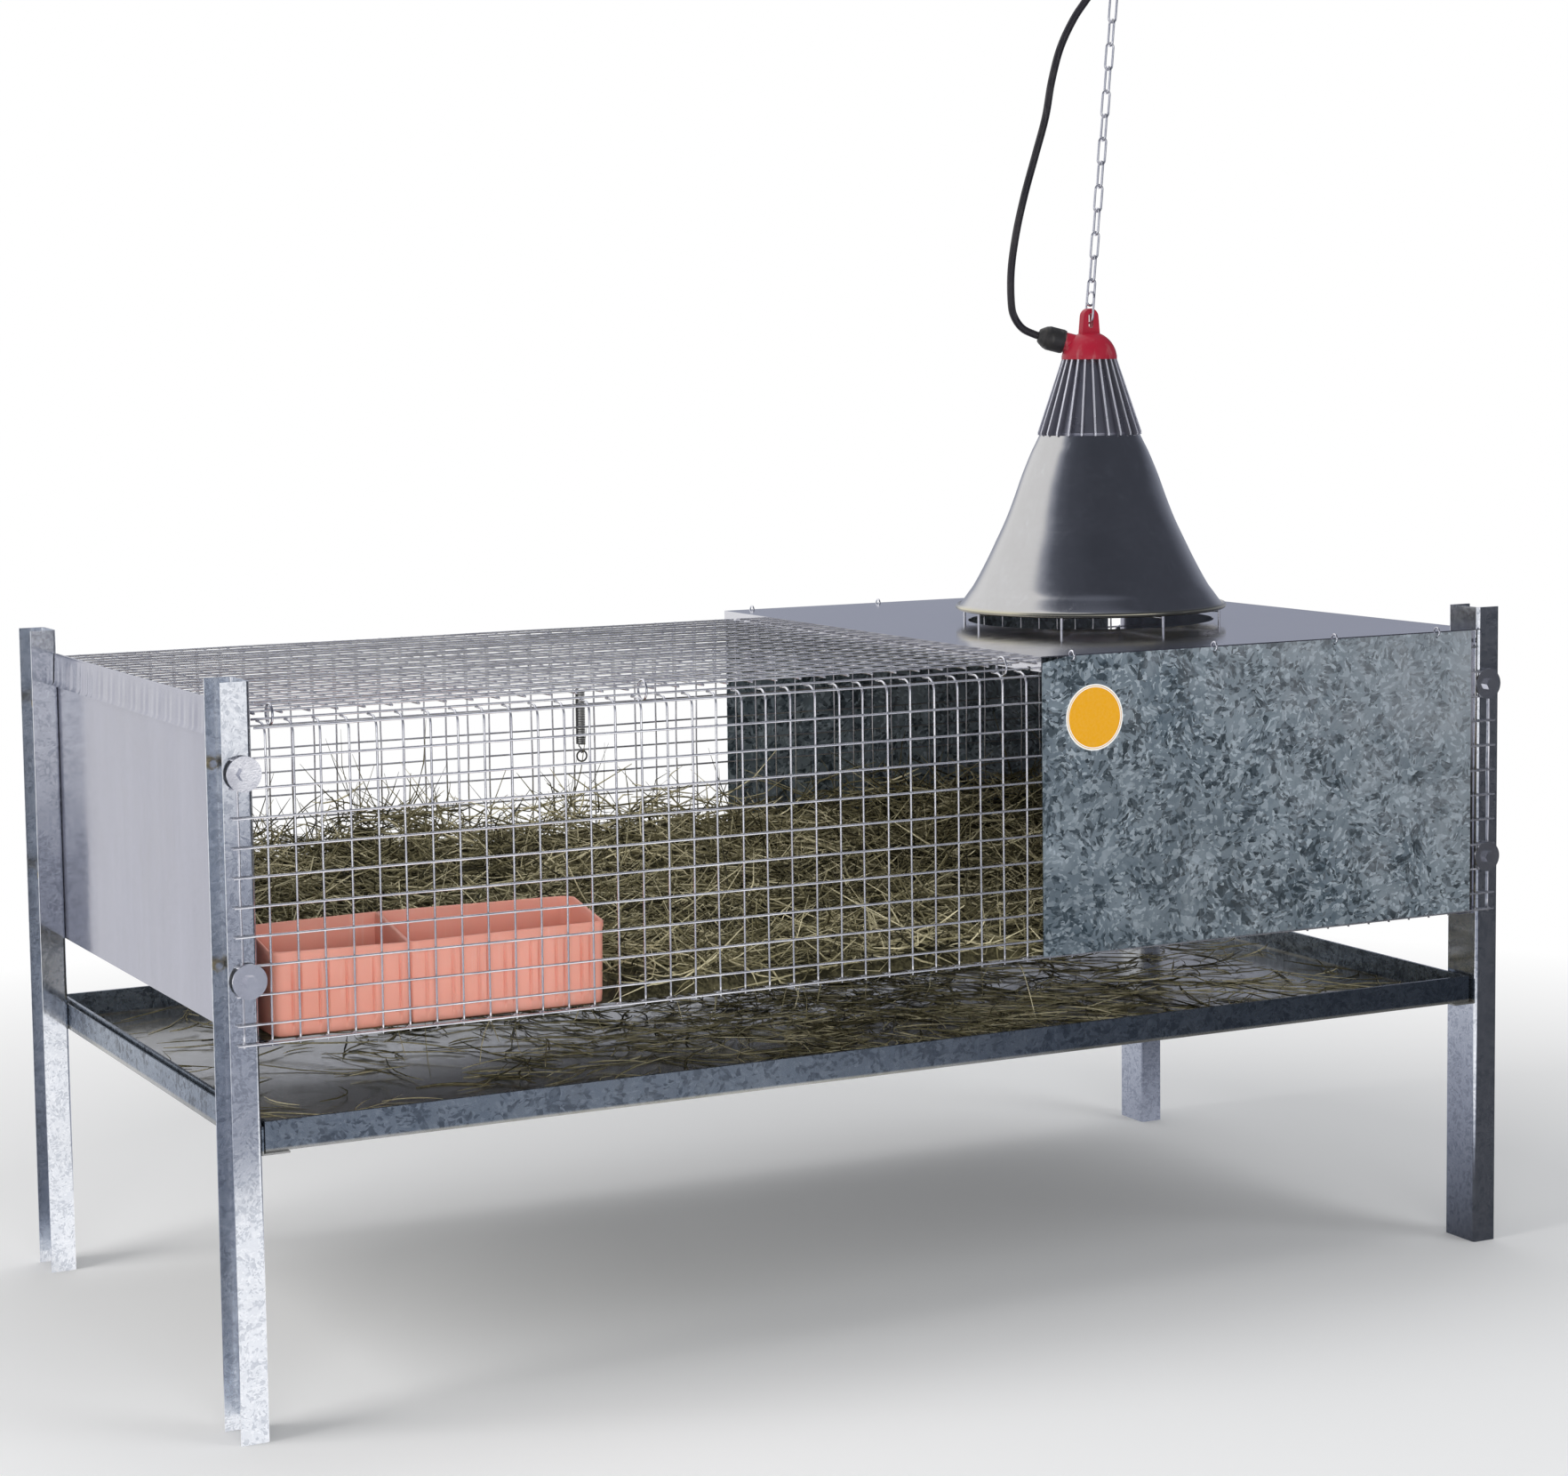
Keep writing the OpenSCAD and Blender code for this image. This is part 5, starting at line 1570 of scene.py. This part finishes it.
@dataclass
class Hay:
    """Loose hay: curved stalks in locks over a bank in painted shade, higher at the back, and litter on the
    tray.
    """

    seed: int = 2024
    stalks: int = 9000
    locks: int = 520
    tall_stalks: int = 120
    tray_stalks: int = 2000
    hanging_stalks: int = 46
    floor_level: float = 262.0 * MM
    half_x: float = 484.0 * MM
    half_y: float = 245.0 * MM
    front_height: float = 12.0 * MM
    middle_height: float = 26.0 * MM
    back_height: float = 62.0 * MM
    trough_margin: float = 3.0 * MM
    steps: int = 5

    def __post_init__(self) -> None:
        """Seeds the random draws and finds the trough's place."""
        self.rng = np.random.default_rng(self.seed)
        low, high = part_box("feed_trough")
        m = self.trough_margin
        self.trough = (low.x - m, high.x + m, low.y - m, high.y + m)

    def height(self, x: np.ndarray, y: np.ndarray) -> np.ndarray:
        """Height of the bank: a line from front to back through four heights, higher on the left, waved."""
        share = np.interp(y, [-self.half_y, 0.0, 0.75 * self.half_y, self.half_y],
                          [self.front_height, self.middle_height, 0.84 * self.back_height, self.back_height])
        tilt = 1.0 - 0.16 * np.clip(x / self.half_x, -0.6, 0.5)
        waves = 0.10 * np.sin(26 * x + 1.1) + 0.10 * np.sin(41 * x + 23 * y) + 0.07 * np.sin(90 * x - 60 * y)
        return share * (tilt + waves)

    def stalk_paths(self, middle: np.ndarray, yaw: np.ndarray, pitch: np.ndarray, length: np.ndarray,
                    bow: np.ndarray) -> np.ndarray:
        """Curved stalks: a straight line through the middle plus a parabola sideways and one downwards.

        Args:
            middle: Middle points of shape (n, 3).
            yaw: Directions seen from above.
            pitch: Rise angles.
            length: Lengths.
            bow: Depths of the two parabolas as parts of the length, of shape (n, 2).

        Returns:
            Points of shape (n, steps, 3).
        """
        t = np.linspace(-0.5, 0.5, self.steps)[None, :, None]
        along = np.stack([np.cos(yaw) * np.cos(pitch), np.sin(yaw) * np.cos(pitch), np.sin(pitch)], -1)
        side = np.stack([-np.sin(yaw), np.cos(yaw), 0 * yaw], -1)
        path = middle[:, None] + t * (length[:, None] * along)[:, None]
        sag = 4 * t**2
        path = path + sag * (bow[:, :1] * length[:, None] * side)[:, None]
        return path - sag * (bow[:, 1:] * length[:, None])[:, None] * np.array([0.0, 0.0, 1.0])

    def stalks_from(self, paths: np.ndarray, thick: np.ndarray, tone: np.ndarray) -> Surface:
        """Three-sided stalks that thin towards their ends, each with one tone."""
        taper = np.interp(np.linspace(0, 1, self.steps), [0, 0.25, 0.75, 1], [0.5, 1, 0.9, 0.3])
        surface = wires(paths, thick[:, None] * taper[None], 3, (0.13, 0.21, 0.97))
        surface.tone = np.repeat(tone, self.steps * 3)
        return surface

    def clear_of_trough(self, paths: np.ndarray) -> np.ndarray:
        """Whether each stalk keeps out of the trough's place."""
        x0, x1, y0, y1 = self.trough
        inside = (paths[..., 0] > x0) & (paths[..., 0] < x1) & (paths[..., 1] > y0) & (paths[..., 1] < y1)
        return ~inside.any(axis=1)

    def bank(self) -> Surface:
        """Bank under the stalks in painted shade: the height function on a grid, ruffled, closed down to the
        floor.
        """
        nx, ny = 200, 100
        x = np.linspace(-self.half_x, self.half_x, nx)[:, None] + np.zeros((1, ny))
        y = np.linspace(-self.half_y, self.half_y, ny)[None] + np.zeros((nx, 1))
        ruffle = self.rng.uniform(0.4, 0.78, (nx, ny))
        z = self.height(x, y) * ruffle
        x0, x1, y0, y1 = self.trough
        hollow = (x > x0 - 4 * MM) & (x < x1 + 4 * MM) & (y < y1 + 4 * MM)
        z = np.where(hollow, 0.4 * MM, z)
        edge = np.zeros((nx, ny), bool)
        edge[[0, -1]] = True
        edge[:, [0, -1]] = True
        z = np.where(edge, 0.3 * MM, z)
        points = np.stack([x, y, self.floor_level + z], -1).reshape(-1, 3)
        # Low tones darken the bank as painted shade under the stalks
        tone = (0.02 + 0.16 * self.rng.random((nx, ny))).reshape(-1)
        return Surface(points, [grid_quads(nx, ny)[:, ::-1]], tone)

    def loose(self) -> tuple[np.ndarray, np.ndarray, np.ndarray]:
        """Stalks lying on the bank in locks, each with its own direction and tone that its stalks stray from.

        Returns:
            Paths, radii and tones.
        """
        n, rng = self.stalks, self.rng
        lock = rng.integers(0, self.locks, n)
        spot = rng.uniform(-1, 1, (self.locks, 2)) * np.array([self.half_x, self.half_y])
        stray = rng.random(n) < 0.35
        x = np.where(stray, rng.uniform(-1, 1, n) * self.half_x, spot[lock, 0] + rng.normal(0, 26, n) * MM)
        y = np.where(stray, rng.uniform(-1, 1, n) * self.half_y, spot[lock, 1] + rng.normal(0, 20, n) * MM)
        x = np.clip(x, -self.half_x + 6 * MM, self.half_x - 6 * MM)
        y = np.clip(y, -self.half_y + 3 * MM, self.half_y - 3 * MM)
        z = self.floor_level + self.height(x, y) * rng.uniform(0.55, 1.1, n)
        yaw = rng.uniform(0, 2 * math.pi, self.locks)[lock] + rng.normal(0, 0.45, n)
        yaw = np.where(stray, rng.uniform(0, 2 * math.pi, n), yaw)
        length = np.clip(rng.lognormal(math.log(66 * MM), 0.45, n), 20 * MM, 170 * MM)
        paths = self.stalk_paths(np.stack([x, y, z], -1), yaw, rng.normal(0, 0.27, n), length,
                                 rng.normal(0, 0.12, (n, 2)))
        tone = np.clip(rng.normal(0.48, 0.17, self.locks)[lock] + rng.normal(0, 0.24, n), 0.04, 1.0)
        return paths, rng.uniform(0.4, 0.95, n) * MM, tone

    def kept(self, paths: np.ndarray, thick: np.ndarray,
             tone: np.ndarray) -> tuple[np.ndarray, np.ndarray, np.ndarray]:
        """Keeps stalks in the cage and out of the trough."""
        keep = self.clear_of_trough(paths)
        limit = np.array([self.half_x, self.half_y, 1.0])
        paths = np.clip(paths[keep], -limit, limit)
        paths[..., 2] = np.maximum(paths[..., 2], self.floor_level + 0.4 * MM)
        return paths, thick[keep], tone[keep]

    def standing(self) -> Surface:
        """Thin dark stalks that stick up out of the bank at the back."""
        n, rng = self.tall_stalks, self.rng
        x = rng.uniform(-0.95, 0.6, n) * self.half_x
        y = rng.uniform(0.55, 0.97, n) * self.half_y
        length = rng.uniform(35, 95, n) * MM
        pitch = rng.uniform(0.5, 1.3, n)
        z = self.floor_level + self.height(x, y) * 0.9 + 0.3 * length * np.sin(pitch)
        paths = self.stalk_paths(np.stack([x, y, z], -1), rng.uniform(0, 2 * math.pi, n), pitch, length,
                                 rng.normal(0, 0.2, (n, 2)))
        thick = rng.uniform(0.35, 0.65, n) * MM
        return self.stalks_from(*self.kept(paths, thick, rng.uniform(0.0, 0.35, n)))

    def litter(self) -> Surface:
        """Stalks that have fallen on the tray, most of them in the middle."""
        low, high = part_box("dropping_tray")
        n, rng = self.tray_stalks, self.rng
        stray = rng.random(n) < 0.12
        x = np.where(stray, rng.uniform(low.x, high.x, n), rng.normal(0.06, 0.18, n))
        x = np.clip(x, low.x + 0.02, high.x - 0.02)
        y = rng.uniform(low.y + 0.01, high.y - 0.01, n)
        length = np.clip(rng.lognormal(math.log(44 * MM), 0.5, n), 10 * MM, 120 * MM)
        z = low.z + 1.4 * MM + rng.exponential(1.6, n) * MM
        yaw = rng.uniform(0, 2 * math.pi, n)
        pitch = rng.normal(0, 0.05, n)
        bow = rng.normal(0, 0.12, (n, 2)) * np.array([1.0, 0.1])
        paths = self.stalk_paths(np.stack([x, y, z], -1), yaw, pitch, length, bow)
        inset = 4 * MM
        paths[..., 0] = np.clip(paths[..., 0], low.x + inset, high.x - inset)
        paths[..., 1] = np.clip(paths[..., 1], low.y + inset, high.y - inset)
        paths[..., 2] = np.clip(paths[..., 2], low.z + 1.3 * MM, high.z - 2 * MM)
        thick = rng.uniform(0.35, 0.8, n) * MM
        return self.stalks_from(paths, thick, np.clip(rng.normal(0.62, 0.26, n), 0.05, 1.0))

    def hanging(self) -> Surface:
        """Stalks that hang down through the floor mesh."""
        n, rng = self.hanging_stalks, self.rng
        x = rng.uniform(-0.8, 0.3, n) * self.half_x
        y = rng.uniform(-0.98, -0.2, n) * self.half_y
        length = rng.uniform(22, 55, n) * MM
        z = self.floor_level - 0.42 * length
        yaw = rng.uniform(0, 2 * math.pi, n)
        pitch = rng.uniform(0.9, 1.45, n)
        paths = self.stalk_paths(np.stack([x, y, z], -1), yaw, pitch, length, rng.normal(0, 0.14, (n, 2)))
        paths[..., 2] = np.maximum(paths[..., 2], 213 * MM)
        return self.stalks_from(paths, rng.uniform(0.3, 0.55, n) * MM, rng.uniform(0.5, 1.0, n))

    def build(self, rack: FinishRack) -> None:
        """Makes the bed in the cage, in two pieces, and the litter on the tray."""
        paths, thick, tone = self.kept(*self.loose())
        back = paths[:, self.steps // 2, 1] > 0.0
        rear = self.stalks_from(paths[back], thick[back], tone[back])
        fore = self.stalks_from(paths[~back], thick[~back], tone[~back])
        bed = Surface.join([self.bank(), rear, self.standing()])
        place(Piece("hay_bed", "cage", "hay", ("hay_bedding",)), bed, rack)
        place(Piece("hay_front", "cage", "hay"), Surface.join([fore, self.hanging()]), rack)
        place(Piece("tray_litter", "tray", "hay"), self.litter(), rack)


NODE_SLOTS = {
    "post_front_left": "post_zinc", "post_front_right": "post_zinc",
    "post_rear_left": "post_zinc", "post_rear_right": "post_zinc",
    "end_panel_left": "panel_zinc", "end_panel_right": "panel_zinc",
    "runner_left": "tray_zinc", "runner_right": "tray_zinc",
    "lid_hinge_rings": "hardware_zinc", "latch_ring": "latch_black",
    "clamp_washers": "hardware_zinc", "clamp_bolts": "hardware_zinc", "clamp_nuts": "nut_brass",
    "shelter_front_sheet": "sheet_zinc", "shelter_rear_sheet": "sheet_zinc", "shelter_roof": "roof_zinc",
    "stitch_rings": "hardware_zinc", "label_disc": "label_print", "dropping_tray": "tray_zinc",
    "lamp_fin_housing": "fin_aluminium", "lamp_cap": "cap_red", "lamp_socket": "socket_ceramic",
    "heat_bulb": "bulb_glass", "lamp_guard": "hardware_zinc", "cable_gland": "gland_black",
    "lamp_hook": "hardware_zinc", "chain_links": "hardware_zinc", "ceiling_rose": "rose_white",
}


def main() -> None:
    """Builds the studio, the cable, the rest of the pieces and their finishes."""
    logging.basicConfig(level=logging.INFO, format="%(name)s: %(message)s")
    Studio().build()
    rack = FinishRack()
    LampCable().build(rack)
    rack.dress_nodes(NODE_SLOTS)
    Cage().build(rack)
    PanelHem().build(rack)
    SpringLatch().build(rack)
    LampShade().build(rack)
    FeedTrough().build(rack)
    Hay().build(rack)


if __name__ == "__main__":
    main()
